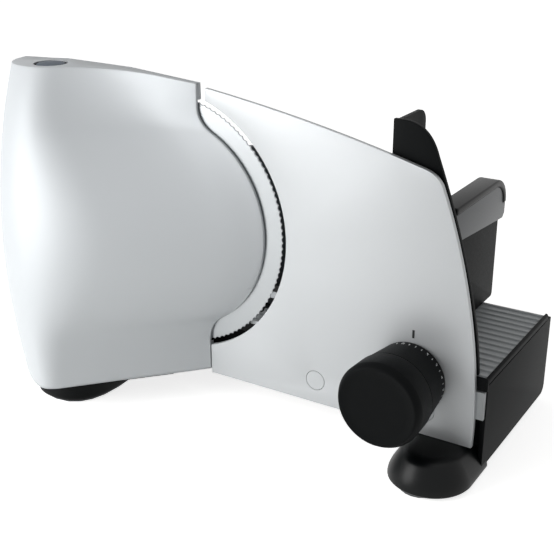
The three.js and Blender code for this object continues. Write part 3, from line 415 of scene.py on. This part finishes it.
def round_edges(bm, edges, radius, segments=3):
    bmesh.ops.bevel(bm, geom=list(edges), offset=radius, segments=segments, profile=0.5, affect="EDGES",
                    material=-1, clamp_overlap=True)


def sharp_edges(bm, degrees=40):
    limit = math.radians(degrees)
    return [edge for edge in bm.edges if fold_angle(edge) > limit]


def close_up(bm):
    """Merge doubles and turn the faces outwards."""
    bmesh.ops.remove_doubles(bm, verts=bm.verts[:], dist=0.001)
    bmesh.ops.recalc_face_normals(bm, faces=bm.faces[:])


def lathe(profile, steps, axis, middle):
    """Spin a profile of (radius, height) points into a closed body about an axis through a point."""
    bm = bmesh.new()
    start = [(radius, height, 0.0) if axis == "Y" else (radius, 0.0, height) for radius, height in profile]
    edges = loop_of(bm, start, closed=False)
    verts = list({vert for edge in edges for vert in edge.verts})
    turn = (0.0, 1.0, 0.0) if axis == "Y" else (0.0, 0.0, 1.0)
    bmesh.ops.spin(bm, geom=verts + edges, cent=(0.0, 0.0, 0.0), axis=turn, angle=2 * math.pi, steps=steps,
                   use_merge=True)
    close_up(bm)
    bmesh.ops.translate(bm, vec=middle, verts=bm.verts[:])
    return bm


def make_piece(name, bm, body, slot, replaces=(), smooth_degrees=35, finish=None):
    """Turn a bmesh in millimetres into a finished piece that rides on a body."""
    bmesh.ops.scale(bm, vec=(MM, MM, MM), verts=bm.verts[:])
    bmesh.ops.translate(bm, vec=CENTRE, verts=bm.verts[:])
    mesh = bpy.data.meshes.new(name)
    bm.to_mesh(mesh)
    bm.free()
    mesh.shade_smooth()
    mesh.set_sharp_from_angle(angle=math.radians(smooth_degrees))
    piece = bpy.data.objects.new(name, mesh)
    bpy.context.collection.objects.link(piece)
    mesh.materials.append(finish_for(finish or slot))
    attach(piece, body)
    for node in replaces:
        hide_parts(node)
    return piece


def stand_in(name, bm, node, **options):
    """A finer piece for one CAD node, on its body and in its slot."""
    return make_piece(name, bm, BODY_OF[node], SLOT_OF[node], replaces=(node,), **options)


# The motor housing's form, as the CAD part has it, with a thinner edge on its rim
BACK = -1.2
HOUSING_TOP = 98.5
HOUSING_BOTTOM = -101.0
HOUSING_LEFT = -121.0
EDGE_TOP = 23.5
EDGE_BOTTOM = 29.0
RIM_RADIUS = 72.3
RIM_FILLET = 20.0
RIM_THICKNESS = 3.8
RIM_EDGE = 1.6
RIM_ROLL = 24.0
NOSE_BOTTOM = -49.0
NOSE_TOP = -85.0
DEPTH_BOTTOM = 79.0
DEPTH_TOP = 29.0
NOSE_ROUND = 0.14
NOSE_SWELL = 0.24
END_FLAT = 0.55
FLANK_POWER_BOTTOM = 1.05
FLANK_POWER_TOP = 3.0
FLANK_TURN = 4.5
NOSE_TURN = 1.2
DEPTH_TURN = 2.6
END_TURN = 2.2
CROWN_DROP = 5.0
CROWN_HEIGHT = 38.5
TOP_ROUND = 0.6
LEVEL_STEP = 2.0
END_STEPS = 28
FLANK_STEPS = 40

# Free room round a pin or cap in its hole
CLEARANCE = 0.3

# Half the thickness of printed ink
INK = 0.05


def level_of(z):
    return clamp((z - HOUSING_BOTTOM) / (HOUSING_TOP - HOUSING_BOTTOM))


def rim_x(z):
    """Right-hand edge: the round rim, a fillet, then the straight edge."""
    height = abs(z)
    edge = EDGE_TOP if z > 0 else EDGE_BOTTOM
    reach = RIM_RADIUS + RIM_FILLET
    fillet_x = edge + RIM_FILLET
    fillet_z = math.sqrt(reach ** 2 - fillet_x ** 2)
    if height >= fillet_z:
        return edge
    if height >= fillet_z * RIM_RADIUS / reach:
        return fillet_x - math.sqrt(RIM_FILLET ** 2 - (fillet_z - height) ** 2)
    return math.sqrt(RIM_RADIUS ** 2 - height ** 2)


def nose_x(z):
    """Where the nose stands at a level: it leans left towards the top."""
    return lerp(NOSE_BOTTOM, NOSE_TOP, level_of(z) ** NOSE_TURN)


def flank_share(u, power, curve):
    """Front flank: straight at the bottom, hollow at the top, rounded off into the nose."""
    start = 1 - curve
    slope = power * start ** (power - 1)
    end = start ** power + slope * curve / 2
    if u <= start:
        return u ** power / end
    v = (u - start) / curve
    return (start ** power + slope * curve * (v - v * v / 2)) / end


def front_y(x, z):
    """How far forward the front flank stands between rim and nose."""
    power = lerp(FLANK_POWER_BOTTOM, FLANK_POWER_TOP, level_of(z) ** FLANK_TURN)
    curve = NOSE_ROUND + NOSE_SWELL * math.sin(math.pi * level_of(z)) ** 2
    u = clamp((rim_x(z) - x) / (rim_x(z) - nose_x(z)))
    depth = lerp(DEPTH_BOTTOM, DEPTH_TOP, level_of(z) ** DEPTH_TURN)
    # Close to the rim the flank rolls back to a thin edge
    roll = clamp((rim_x(z) - x) / RIM_ROLL)
    thickness = lerp(RIM_THICKNESS, RIM_EDGE, (1 - roll) ** 2)
    return BACK - thickness - depth * flank_share(u, power, curve)


def crowned(x, z):
    """The top falls away to both sides of its crest."""
    share = clamp((z - HOUSING_TOP + CROWN_HEIGHT) / CROWN_HEIGHT)
    share = share * share * (3 - 2 * share)
    crest = (NOSE_BOTTOM + NOSE_TOP) / 2
    across = (min(x, EDGE_TOP) - crest) / (EDGE_TOP - crest)
    return z - CROWN_DROP * share * across ** 2


def housing_row(z):
    """One level of the housing: left end, nose, front flank and the rim's edge."""
    nose = nose_x(z)
    deep = front_y(nose, z)
    power = 2 / (2 - END_FLAT * (1 - level_of(z)) ** END_TURN)
    points = []
    for i in range(END_STEPS + 1):
        angle = math.pi / 2 * i / END_STEPS
        away, along = abs(math.cos(angle)) ** power, math.sin(angle) ** power
        points.append((nose - (nose - HOUSING_LEFT) * away, BACK + (deep - BACK) * along))
    for i in range(1, FLANK_STEPS + 1):
        x = lerp(nose, rim_x(z), i / FLANK_STEPS)
        points.append((x, front_y(x, z)))
    points.append((rim_x(z), BACK))
    return [(x, y, crowned(x, z)) for x, y in points]


def circle(radius, x, y, count):
    return [(x + radius * math.cos(2 * math.pi * i / count), y + radius * math.sin(2 * math.pi * i / count))
            for i in range(count)]


class SLICER_OT_housing(bpy.types.Operator):
    """Make the motor housing's shell, with the hole for its button"""

    bl_idname = "slicer.housing"
    bl_label = "Motor housing"

    def execute(self, context):
        sizes = context.scene.slicer_sizes
        bm = bmesh.new()
        count = round((HOUSING_TOP - HOUSING_BOTTOM) / LEVEL_STEP)
        levels = [lerp(HOUSING_BOTTOM, HOUSING_TOP, i / count) for i in range(count + 1)]
        rim = skin(bm, [housing_row(z) for z in levels], closed=False)[1]
        ring_low, ring_high = node_span("button_ring")
        button_x, button_y = (ring_low.x + ring_high.x) / 2, (ring_low.y + ring_high.y) / 2
        hole_radius = (ring_high.x - ring_low.x) / 2 + CLEARANCE
        hole_depth, hole_steps, touch = 5.0, 64, 0.01
        hole = circle(hole_radius, button_x, button_y, hole_steps)
        hole_edges = loop_of(bm, [(x, y, crowned(x, HOUSING_TOP)) for x, y in hole])
        at_back = (vert for edge in rim for vert in edge.verts if vert.co.y > BACK - touch)
        ends = sorted(at_back, key=lambda vert: vert.co.x)
        back_steps = 60
        back = [lerp(ends[0].co.x, ends[-1].co.x, i / back_steps) for i in range(1, back_steps)]
        chain = [ends[0], *(bm.verts.new((x, BACK, crowned(x, HOUSING_TOP))) for x in back), ends[-1]]
        back_edges = [bm.edges.new(pair) for pair in zip(chain, chain[1:])]
        bmesh.ops.triangle_fill(bm, use_beauty=True, use_dissolve=False, edges=rim + back_edges + hole_edges)
        bmesh.ops.recalc_face_normals(bm, faces=bm.faces[:])
        round_edges(bm, sharp_edges(bm, 50), TOP_ROUND, segments=4)
        lip = [edge for edge in bm.edges if edge.is_boundary and all(
            abs(math.hypot(v.co.x - button_x, v.co.y - button_y) - hole_radius) < touch for v in edge.verts)]
        made = bmesh.ops.extrude_edge_only(bm, edges=lip)["geom"]
        wall = [item for item in made if isinstance(item, bmesh.types.BMVert)]
        bmesh.ops.translate(bm, vec=(0.0, 0.0, -hole_depth), verts=wall)
        bmesh.ops.recalc_face_normals(bm, faces=bm.faces[:])
        if sum(face.calc_area() * face.normal.y for face in bm.faces) > 0:
            bmesh.ops.reverse_faces(bm, faces=bm.faces[:])
        piece = stand_in("housing_shell", bm, "motor_housing")
        wall_thickness = piece.modifiers.new("Shell", "SOLIDIFY")
        wall_thickness.thickness = sizes.housing_wall * MM
        wall_thickness.offset = -1.0
        return {"FINISHED"}


class SLICER_OT_button(bpy.types.Operator):
    """Make the push button's domed cap and the ring that it sits in"""

    bl_idname = "slicer.button"
    bl_label = "Push button"

    def execute(self, context):
        ring_low, ring_high = node_span("button_ring")
        cap_low, cap_high = node_span("button")
        x, y = (ring_low.x + ring_high.x) / 2, (ring_low.y + ring_high.y) / 2
        outer = (ring_high.x - ring_low.x) / 2
        radius = (cap_high.x - cap_low.x) / 2
        inner = radius + CLEARANCE
        top, bottom = ring_high.z, ring_low.z
        spot, turns = (x, y, 0.0), 96
        # The ring's top slopes in towards the cap
        lip = 0.4
        ring = [(inner, bottom), (outer, bottom), (outer, top - 0.5), (outer - lip, top),
                (inner + lip, top - 0.7), (inner, top - 1.1), (inner, bottom)]
        stand_in("button_ring_fine", lathe(ring, turns, "Z", spot), "button_ring")
        stem, skirt = 3.0, 6.0
        brow, rise, steps = 1.2, 0.8, 8
        dome = []
        for i in range(steps + 1):
            angle = math.pi / 2 * i / steps
            dome.append((radius - brow + brow * math.cos(angle), cap_high.z - brow + rise * math.sin(angle)))
        under = cap_high.z - skirt
        profile = [(0.0, cap_low.z), (stem, cap_low.z), (stem, under), (radius, under), *dome,
                   (radius * 0.5, cap_high.z - 0.1), (0.0, cap_high.z)]
        stand_in("button_cap", lathe(profile, turns, "Z", spot), "button")
        return {"FINISHED"}


class SLICER_OT_blade(bpy.types.Operator):
    """Make the round blade with its ground, scalloped edge"""

    bl_idname = "slicer.blade"
    bl_label = "Blade"

    def execute(self, context):
        sizes = context.scene.slicer_sizes
        low, high = node_span("blade")
        radius = (high.x - low.x) / 2
        front, back = low.y, high.y
        per_tooth = 8
        count = sizes.tooth_count * per_tooth
        deep = sizes.tooth_depth
        bore, ground_width, edge = 8.3, 5.0, 0.4
        ground = radius - ground_width

        def row(reach, y, scallop):
            points = []
            for i in range(count):
                turn = 2 * math.pi * i / count
                dip = scallop * abs(math.sin(sizes.tooth_count * turn / 2))
                points.append(((reach - dip) * math.cos(turn), y, (reach - dip) * math.sin(turn)))
            return points

        rows = [row(bore, back, 0.0), row(bore, front, 0.0), row(ground / 2, front, 0.0),
                row(ground, front, 0.0), row(radius - edge, front + 0.1, deep),
                row(radius, front + 0.35, deep), row(radius, back - 0.1, deep),
                row(ground, back, 0.0), row(ground / 2, back, 0.0), row(bore, back, 0.0)]
        bm = bmesh.new()
        skin(bm, rows)
        close_up(bm)
        stand_in("blade_disc", bm, "blade", smooth_degrees=20)
        return {"FINISHED"}


def curve_through(start, bend_a, bend_b, end, steps):
    """Points along a flat cubic curve, without its first point."""
    handles = [Vector((x, z, 0.0)) for x, z in (start, bend_a, bend_b, end)]
    return [(point.x, point.y) for point in interpolate_bezier(*handles, steps + 1)[1:]]


def soft_corner(start, corner, end, steps=16):
    """Points along the curve that a corner pulls towards itself, without its first point."""
    bend_a = [lerp(start[i], corner[i], 2 / 3) for i in (0, 1)]
    bend_b = [lerp(end[i], corner[i], 2 / 3) for i in (0, 1)]
    return curve_through(start, bend_a, bend_b, end, steps)


class SLICER_OT_plate(bpy.types.Operator):
    """Make the stop plate with rounded edges, and its printed index mark"""

    bl_idname = "slicer.plate"
    bl_label = "Stop plate"

    def execute(self, context):
        sizes = context.scene.slicer_sizes
        low, high = node_span("stop_plate")
        left, bottom, front, back = low.x, low.z, low.y, high.y
        top, right, arc = 91.2, 217.4, 88.3
        corner_inset, corner_drop = 28.4, 37.2
        corner = (right - corner_inset, top - corner_drop)
        side_steps, arc_steps, hole_steps = 40, 120, 48
        points = [(left, bottom), (right, bottom)]
        # The right edge bulges low down and leans in towards the corner
        low_bend = (right + 3.0, lerp(bottom, corner[1], 0.37))
        high_bend = (right - 0.42 * corner_inset, lerp(bottom, corner[1], 0.75))
        points += curve_through(points[-1], low_bend, high_bend, corner, side_steps)
        # A round shoulder leads into the slope up to the top
        shoulder = (corner[0] - 12.0, corner[1] + 8.4)
        knuckle = (corner[0] - 3.5, corner[1] + 6.5)
        points += soft_corner(corner, knuckle, shoulder)
        crest = ((corner[0] + left) / 2, (corner[1] + top) / 2 + 8.0)
        points += soft_corner(shoulder, crest, (left, top), side_steps)
        # The round cut-out follows the blade
        half = math.acos(left / arc)
        points += [(arc * math.cos(a), arc * math.sin(a))
                   for a in (lerp(half, -half, i / arc_steps) for i in range(arc_steps + 1))]
        bm = bmesh.new()
        edges = loop_of(bm, [(x, front, z) for x, z in points])
        for node in ("plate_rod_1", "plate_rod_2"):
            rod_low, rod_high = node_span(node)
            rod_x, rod_z = (rod_low.x + rod_high.x) / 2, (rod_low.z + rod_high.z) / 2
            hole = circle((rod_high.x - rod_low.x) / 2 + CLEARANCE, rod_x, rod_z, hole_steps)
            edges += loop_of(bm, [(x, front, z) for x, z in hole])
        bmesh.ops.triangle_fill(bm, use_beauty=True, use_dissolve=False, edges=edges)
        made = bmesh.ops.extrude_face_region(bm, geom=bm.faces[:], use_keep_orig=True)["geom"]
        bmesh.ops.translate(bm, vec=(0.0, back - front, 0.0),
                            verts=[item for item in made if isinstance(item, bmesh.types.BMVert)])
        close_up(bm)
        round_edges(bm, sharp_edges(bm, 60), sizes.plate_round)
        stand_in("stop_plate_fine", bm, "stop_plate", smooth_degrees=30)

        # The index mark stands above the dial, a little right of its middle
        tick_size, tick_shift, tick_rise, tick_proud = (1.5, 0.12, 5.2), 0.6, 2.6, 0.04
        tick = bmesh.new()
        bmesh.ops.create_cube(tick, size=1.0)
        bmesh.ops.scale(tick, vec=tick_size, verts=tick.verts[:])
        knob_low, knob_high = node_span("knob_dial")
        tick_x = (knob_low.x + knob_high.x) / 2 + tick_shift
        tick_place = (tick_x, front - tick_proud, knob_high.z + tick_rise)
        bmesh.ops.translate(tick, vec=tick_place, verts=tick.verts[:])
        make_piece("index_mark", tick, "plate", "black_plastic", finish="black_print")
        return {"FINISHED"}


def wrap_on_dial(bm, middle_x, middle_z, radius, turn, front):
    """Bend flat print onto the dial: its x runs round the dial, its y towards the operator."""
    for vert in bm.verts:
        angle = turn + vert.co.x / radius
        reach = radius + vert.co.z
        vert.co = (middle_x + reach * math.sin(angle), front - vert.co.y, middle_z + reach * math.cos(angle))


def print_text(text, height):
    """Flat digits as a bmesh, centred on the origin, in millimetres."""
    curve = bpy.data.curves.new("digits", "FONT")
    curve.body = text
    digit_share = 0.7
    curve.size = height / digit_share
    curve.align_x, curve.align_y = "CENTER", "CENTER"
    curve.resolution_u = 3
    curve.extrude = INK
    holder = bpy.data.objects.new("digits", curve)
    mesh = bpy.data.meshes.new_from_object(holder)
    bm = bmesh.new()
    bm.from_mesh(mesh)
    bpy.data.objects.remove(holder)
    bpy.data.curves.remove(curve)
    bpy.data.meshes.remove(mesh)
    return bm


class SLICER_OT_knob(bpy.types.Operator):
    """Make the knob's dial with its printed scale, and the smooth cap"""

    bl_idname = "slicer.knob"
    bl_label = "Thickness knob"

    def execute(self, context):
        sizes = context.scene.slicer_sizes
        low, high = node_span("knob_dial")
        x, z = (low.x + high.x) / 2, (low.z + high.z) / 2
        front, back = low.y, high.y
        wide = (high.x - low.x) / 2
        taper, bore = 2.9, 2.9
        narrow = wide - taper
        spot, dial_turns, cap_turns = (x, 0.0, z), 128, 160
        profile = [(bore, front), (wide - 0.4, front), (wide, front + 0.4), (narrow + 0.05, back - 0.6),
                   (narrow - 0.5, back), (bore, back), (bore, front)]
        stand_in("knob_dial_fine", lathe(profile, dial_turns, "Y", spot), "knob_dial")

        # The scale runs clockwise; its nought stands just left of the index mark
        step = math.radians(JOINTS["knob_turn"]["range_deg"][1]) / sizes.dial_steps
        scale = bmesh.new()
        start, line_inset, tick_size = math.radians(-9.0), 4.4, (0.5, 1.5, 0.1)
        line_y = back - line_inset
        surface = lerp(narrow, wide, (back - line_y) / (back - front)) + INK
        for number in range(sizes.dial_steps + 1):
            mark = bmesh.new()
            bmesh.ops.create_cube(mark, size=1.0)
            bmesh.ops.scale(mark, vec=tick_size, verts=mark.verts[:])
            wrap_on_dial(mark, x, z, surface, start + step * (number - 0.5), line_y)
            digits = print_text(str(number), sizes.digit_height)
            wrap_on_dial(digits, x, z, surface, start + step * number, line_y)
            for part in (mark, digits):
                mesh = bpy.data.meshes.new("scale_part")
                part.to_mesh(mesh)
                part.free()
                scale.from_mesh(mesh)
                bpy.data.meshes.remove(mesh)
        bmesh.ops.recalc_face_normals(scale, faces=scale.faces[:])
        make_piece("dial_scale", scale, "knob", "black_plastic", finish="white_print")

        low, high = node_span("knob_cap")
        front, back = low.y, high.y
        radius = (high.x - low.x) / 2
        face = radius - 2.8
        seat = front + 5.3
        back_edge = [(radius - 1.6, back), (radius - 0.9, back - 0.3), (radius - 0.6, back - 0.9)]
        front_edge = [(radius, front + 4.6), (radius - 0.1, front + 3.9), (radius - 0.7, front + 2.6),
                      (face + 0.9, front + 0.6), (face + 0.3, front + 0.1), (face - 0.4, front)]
        dish = [(face - 1.4, front + 0.4), (face - 6.0, front + 0.7), (0.0, front + 0.9)]
        profile = [(bore, seat), (bore, back), *back_edge, *front_edge, *dish, (0.0, seat)]
        stand_in("knob_cap_fine", lathe(profile, cap_turns, "Y", spot), "knob_cap")
        return {"FINISHED"}


class SLICER_OT_feet(bpy.types.Operator):
    """Make the bell foot at the operator's end and the foot under the housing"""

    bl_idname = "slicer.feet"
    bl_label = "Feet"

    def execute(self, context):
        low, high = node_span("front_foot")
        x, radius, neck = (low.x + high.x) / 2, (high.x - low.x) / 2, 16.6
        toe_y, wall = low.y + radius, 3.0
        steps, turns = 16, 64

        def plan(reach, height, rear):
            points = [(x + reach, rear, height)]
            for i in range(turns + 1):
                turn = -math.pi * i / turns
                points.append((x + reach * math.cos(turn), toe_y + reach * math.sin(turn), height))
            return [*points, (x - reach, rear, height)]

        swell, skirt = 1.5, 2.0
        flare = [(radius - (radius - neck) * (1 - i / steps) ** swell, lerp(high.z, low.z + skirt, i / steps))
                 for i in range(steps + 1)]
        # The neck's edge is softened into the flare
        ledge, blend, blend_steps = 7.0, 3, 12
        flat = (neck - ledge, high.z)
        flare = [flat, *soft_corner(flat, flare[0], flare[blend], blend_steps), *flare[blend + 1:]]
        inside = [(reach - wall, height - skirt) for reach, height in reversed(flare)
                  if height - skirt > low.z]
        rows = [plan(reach, height, high.y) for reach, height in flare]
        rows += [plan(radius, low.z + 1.0, high.y), plan(radius - 0.9, low.z, high.y)]
        rows += [plan(radius - wall, low.z, high.y - wall)]
        rows += [plan(reach, height, high.y - wall) for reach, height in inside]
        bm = bmesh.new()
        for edges in skin(bm, rows):
            bmesh.ops.contextual_create(bm, geom=edges)
        close_up(bm)
        stand_in("bell_foot", bm, "front_foot", finish="smooth_black")

        low, high = node_span("left_foot")
        x, y = (low.x + high.x) / 2, (low.y + high.y) / 2
        length, width = (high.x - low.x) / 2, (high.y - low.y) / 2
        count, bend = 96, 0.8
        tapers = [(high.z, 0.0), (low.z + 3.0, 3.0), (low.z + 1.4, 3.4), (low.z + 0.4, 4.1), (low.z, 5.2)]

        def row(height, taper):
            points = []
            for i in range(count):
                turn = 2 * math.pi * i / count
                across = math.copysign(abs(math.cos(turn)) ** bend, math.cos(turn))
                along = math.copysign(abs(math.sin(turn)) ** bend, math.sin(turn))
                points.append((x + (length - taper) * across, y + (width - taper) * along, height))
            return points

        bm = bmesh.new()
        for edges in skin(bm, [row(height, taper) for height, taper in tapers]):
            bmesh.ops.contextual_create(bm, geom=edges)
        close_up(bm)
        stand_in("left_foot_fine", bm, "left_foot")
        return {"FINISHED"}


def softened(node, radius):
    """A copy of a CAD node in millimetres, with its flat faces joined up and its edges rounded."""
    bm = bmesh.new()
    bm.from_mesh(frame["nodes"][node].data)
    bmesh.ops.translate(bm, vec=-CENTRE, verts=bm.verts[:])
    bmesh.ops.scale(bm, vec=(1 / MM, 1 / MM, 1 / MM), verts=bm.verts[:])
    bmesh.ops.remove_doubles(bm, verts=bm.verts[:], dist=0.002)
    bmesh.ops.dissolve_limit(bm, angle_limit=math.radians(1.0), verts=bm.verts[:], edges=bm.edges[:])
    round_edges(bm, sharp_edges(bm, 50), radius)
    return bm


class SLICER_OT_mouldings(bpy.types.Operator):
    """Round the edges of the panel, guards, carriage and food holder, and cap the table's corner"""

    bl_idname = "slicer.mouldings"
    bl_label = "Moulded pieces"

    def execute(self, context):
        edge = context.scene.slicer_sizes.edge_round
        radii = {
            "end_panel": edge,
            "thumb_guard": edge,
            "carriage_wall": 1.4 * edge,
            "holder_saddle": edge,
            "holder_grip": 1.6 * edge,
            "table_bead": 2.4 * edge,
            "blade_guard": 0.6 * edge,
            "plate_bracket": 0.6 * edge,
            "carriage_table": 0.35 * edge,
        }
        for node, radius in radii.items():
            finish = "smooth_black" if node == "holder_grip" else None
            stand_in(node + "_fine", softened(node, radius), node, finish=finish)

        # A cap on the table's near corner closes the bead's end
        table_low = node_span("carriage_table")[0]
        bead_high = node_span("table_bead")[1]
        length, depth, drop = 11.0, 1.8, 4.0
        size = Vector((length, depth, bead_high.z - table_low.z + drop))
        cap = bmesh.new()
        bmesh.ops.create_cube(cap, size=1.0)
        bmesh.ops.scale(cap, vec=size, verts=cap.verts[:])
        middle = Vector((bead_high.x, table_low.y, bead_high.z)) - size / 2
        bmesh.ops.translate(cap, vec=middle, verts=cap.verts[:])
        round_edges(cap, sharp_edges(cap), edge)
        make_piece("table_corner", cap, BODY_OF["carriage_table"], "black_plastic")
        return {"FINISHED"}


class SLICER_OT_finishes(bpy.types.Operator):
    """Give every CAD node the finish of its slot"""

    bl_idname = "slicer.finishes"
    bl_label = "Finishes"

    def execute(self, context):
        for node, piece in frame["nodes"].items():
            piece.data.materials.clear()
            piece.data.materials.append(finish_for(SLOT_OF[node]))
        return {"FINISHED"}


# The camera, from the blade's ellipse, the upright edges and the plate in the picture
CAMERA_PLACE = Vector((398.6, -516.2, 222.8))
CAMERA_AZIMUTH = math.radians(31.65)
CAMERA_ELEVATION = math.radians(22.12)

# Each lamp's width and place, and where both point, in metres from the middle of the blade
KEY_WIDTH, KEY_PLACE = 0.4, Vector((-0.28, -0.5, 0.16))
TOP_WIDTH, TOP_PLACE = 1.6, Vector((0.1, 0.3, 1.7))
LAMP_TARGET = Vector((0.05, 0.0, -0.02))
FLOOR_REACH = 6.0


def seen_rays(tree):
    """1 for rays that show the surroundings to the eye: straight, mirrored or through glass."""
    path = add_node(tree, "ShaderNodeLightPath")
    mirrored = add_node(tree, "ShaderNodeMath", {
        0: path.outputs["Is Glossy Ray"], 1: path.outputs["Is Transmission Ray"]}, operation="MAXIMUM")
    seen = add_node(tree, "ShaderNodeMath", {
        0: path.outputs["Is Camera Ray"], 1: mirrored.outputs["Value"]}, operation="MAXIMUM")
    return seen.outputs["Value"]


class SLICER_OT_stage(bpy.types.Operator):
    """Make the floor, the lights, the white surroundings and the camera"""

    bl_idname = "slicer.stage"
    bl_label = "Stage"

    def execute(self, context):
        studio = context.scene.slicer_studio
        context.scene.view_settings.view_transform = "Standard"
        self.make_world(context, studio)
        self.make_floor(studio)
        self.make_light("key_light", studio.key_power, KEY_WIDTH, KEY_PLACE)
        self.make_light("top_light", studio.top_power, TOP_WIDTH, TOP_PLACE)
        self.make_camera(context, studio)
        return {"FINISHED"}

    def make_world(self, context, studio):
        world = bpy.data.worlds.new("studio")
        context.scene.world = world
        world.use_nodes = True
        tree = world.node_tree
        out = tree.nodes["World Output"]
        sky = tree.nodes["Background"]
        sky.inputs["Color"].default_value = (1.0, 1.0, 1.0, 1.0)
        # The surroundings are bright on the left and dim on the right
        way = add_node(tree, "ShaderNodeTexCoord")
        parts = add_node(tree, "ShaderNodeSeparateXYZ", {"Vector": way.outputs["Generated"]})
        strength = add_node(tree, "ShaderNodeMapRange", {
            "Value": parts.outputs["X"], "From Min": -1.0, "From Max": 1.0,
            "To Min": studio.sky_left, "To Max": studio.sky_right})
        tree.links.new(strength.outputs["Result"], sky.inputs["Strength"])
        # Seen straight or mirrored, the surroundings are white
        white = add_node(tree, "ShaderNodeBackground", {"Color": (1.0, 1.0, 1.0, 1.0), "Strength": 1.0})
        mix = add_node(tree, "ShaderNodeMixShader", {
            "Fac": seen_rays(tree), 1: sky.outputs["Background"], 2: white.outputs["Background"]})
        tree.links.new(mix.outputs["Shader"], out.inputs["Surface"])

    def make_floor(self, studio):
        bm = bmesh.new()
        bmesh.ops.create_grid(bm, x_segments=1, y_segments=1, size=FLOOR_REACH)
        mesh = bpy.data.meshes.new("floor")
        bm.to_mesh(mesh)
        bm.free()
        floor = bpy.data.objects.new("floor", mesh)
        bpy.context.collection.objects.link(floor)
        material, tree, shader = start_material("white_paper_sweep", studio.floor_colour, roughness=0.9)
        # To the eye the paper reads as white, and keeps the shadow
        glow = add_node(tree, "ShaderNodeMath", {
            0: seen_rays(tree), 1: studio.floor_glow}, operation="MULTIPLY")
        shader.inputs["Emission Color"].default_value = (1.0, 1.0, 1.0, 1.0)
        tree.links.new(glow.outputs["Value"], shader.inputs["Emission Strength"])
        mesh.materials.append(material)

    def make_light(self, name, power, width, place):
        data = bpy.data.lights.new(name, "AREA")
        data.shape = "DISK"
        data.size = width
        data.energy = power
        light = bpy.data.objects.new(name, data)
        light.location = CENTRE + place
        light.rotation_euler = (LAMP_TARGET - place).to_track_quat("-Z", "Y").to_euler()
        bpy.context.collection.objects.link(light)

    def make_camera(self, context, studio):
        data = bpy.data.cameras.new("camera")
        data.sensor_width = 36.0
        data.lens = studio.lens
        camera = bpy.data.objects.new("camera", data)
        side, tilt = CAMERA_AZIMUTH, CAMERA_ELEVATION
        right = Vector((math.cos(side), math.sin(side), 0.0))
        ahead = Vector((-math.sin(side) * math.cos(tilt), math.cos(side) * math.cos(tilt), -math.sin(tilt)))
        turn = Matrix((right, right.cross(ahead), -ahead)).transposed()
        camera.matrix_world = Matrix.Translation(CENTRE + CAMERA_PLACE * MM) @ turn.to_4x4()
        context.collection.objects.link(camera)
        context.scene.camera = camera


STEPS = (SLICER_OT_stage, SLICER_OT_finishes, SLICER_OT_housing, SLICER_OT_button, SLICER_OT_blade,
         SLICER_OT_plate, SLICER_OT_knob, SLICER_OT_feet, SLICER_OT_mouldings)


class SLICER_PT_panel(bpy.types.Panel):
    """Lists the slicer's pieces and sizes"""

    bl_idname = "SLICER_PT_panel"
    bl_label = "Food slicer"
    bl_space_type = "VIEW_3D"
    bl_region_type = "UI"
    bl_category = "Slicer"

    def draw(self, context):
        layout = self.layout
        for step in STEPS:
            layout.operator(step.bl_idname)
        for group in (context.scene.slicer_sizes, context.scene.slicer_colours, context.scene.slicer_studio):
            for name in group.__annotations__:
                layout.prop(group, name)


GROUPS = {"slicer_sizes": SlicerSizes, "slicer_colours": SlicerColours, "slicer_studio": SlicerStudio}


def register():
    for name, group in GROUPS.items():
        bpy.utils.register_class(group)
        setattr(bpy.types.Scene, name, bpy.props.PointerProperty(type=group))
    for item in (*STEPS, SLICER_PT_panel):
        bpy.utils.register_class(item)


def unregister():
    for item in (SLICER_PT_panel, *reversed(STEPS)):
        bpy.utils.unregister_class(item)
    for name, group in reversed(GROUPS.items()):
        delattr(bpy.types.Scene, name)
        bpy.utils.unregister_class(group)


def main():
    register()
    for step in STEPS:
        family, name = step.bl_idname.split(".")
        getattr(getattr(bpy.ops, family), name)()


if __name__ == "__main__":
    main()
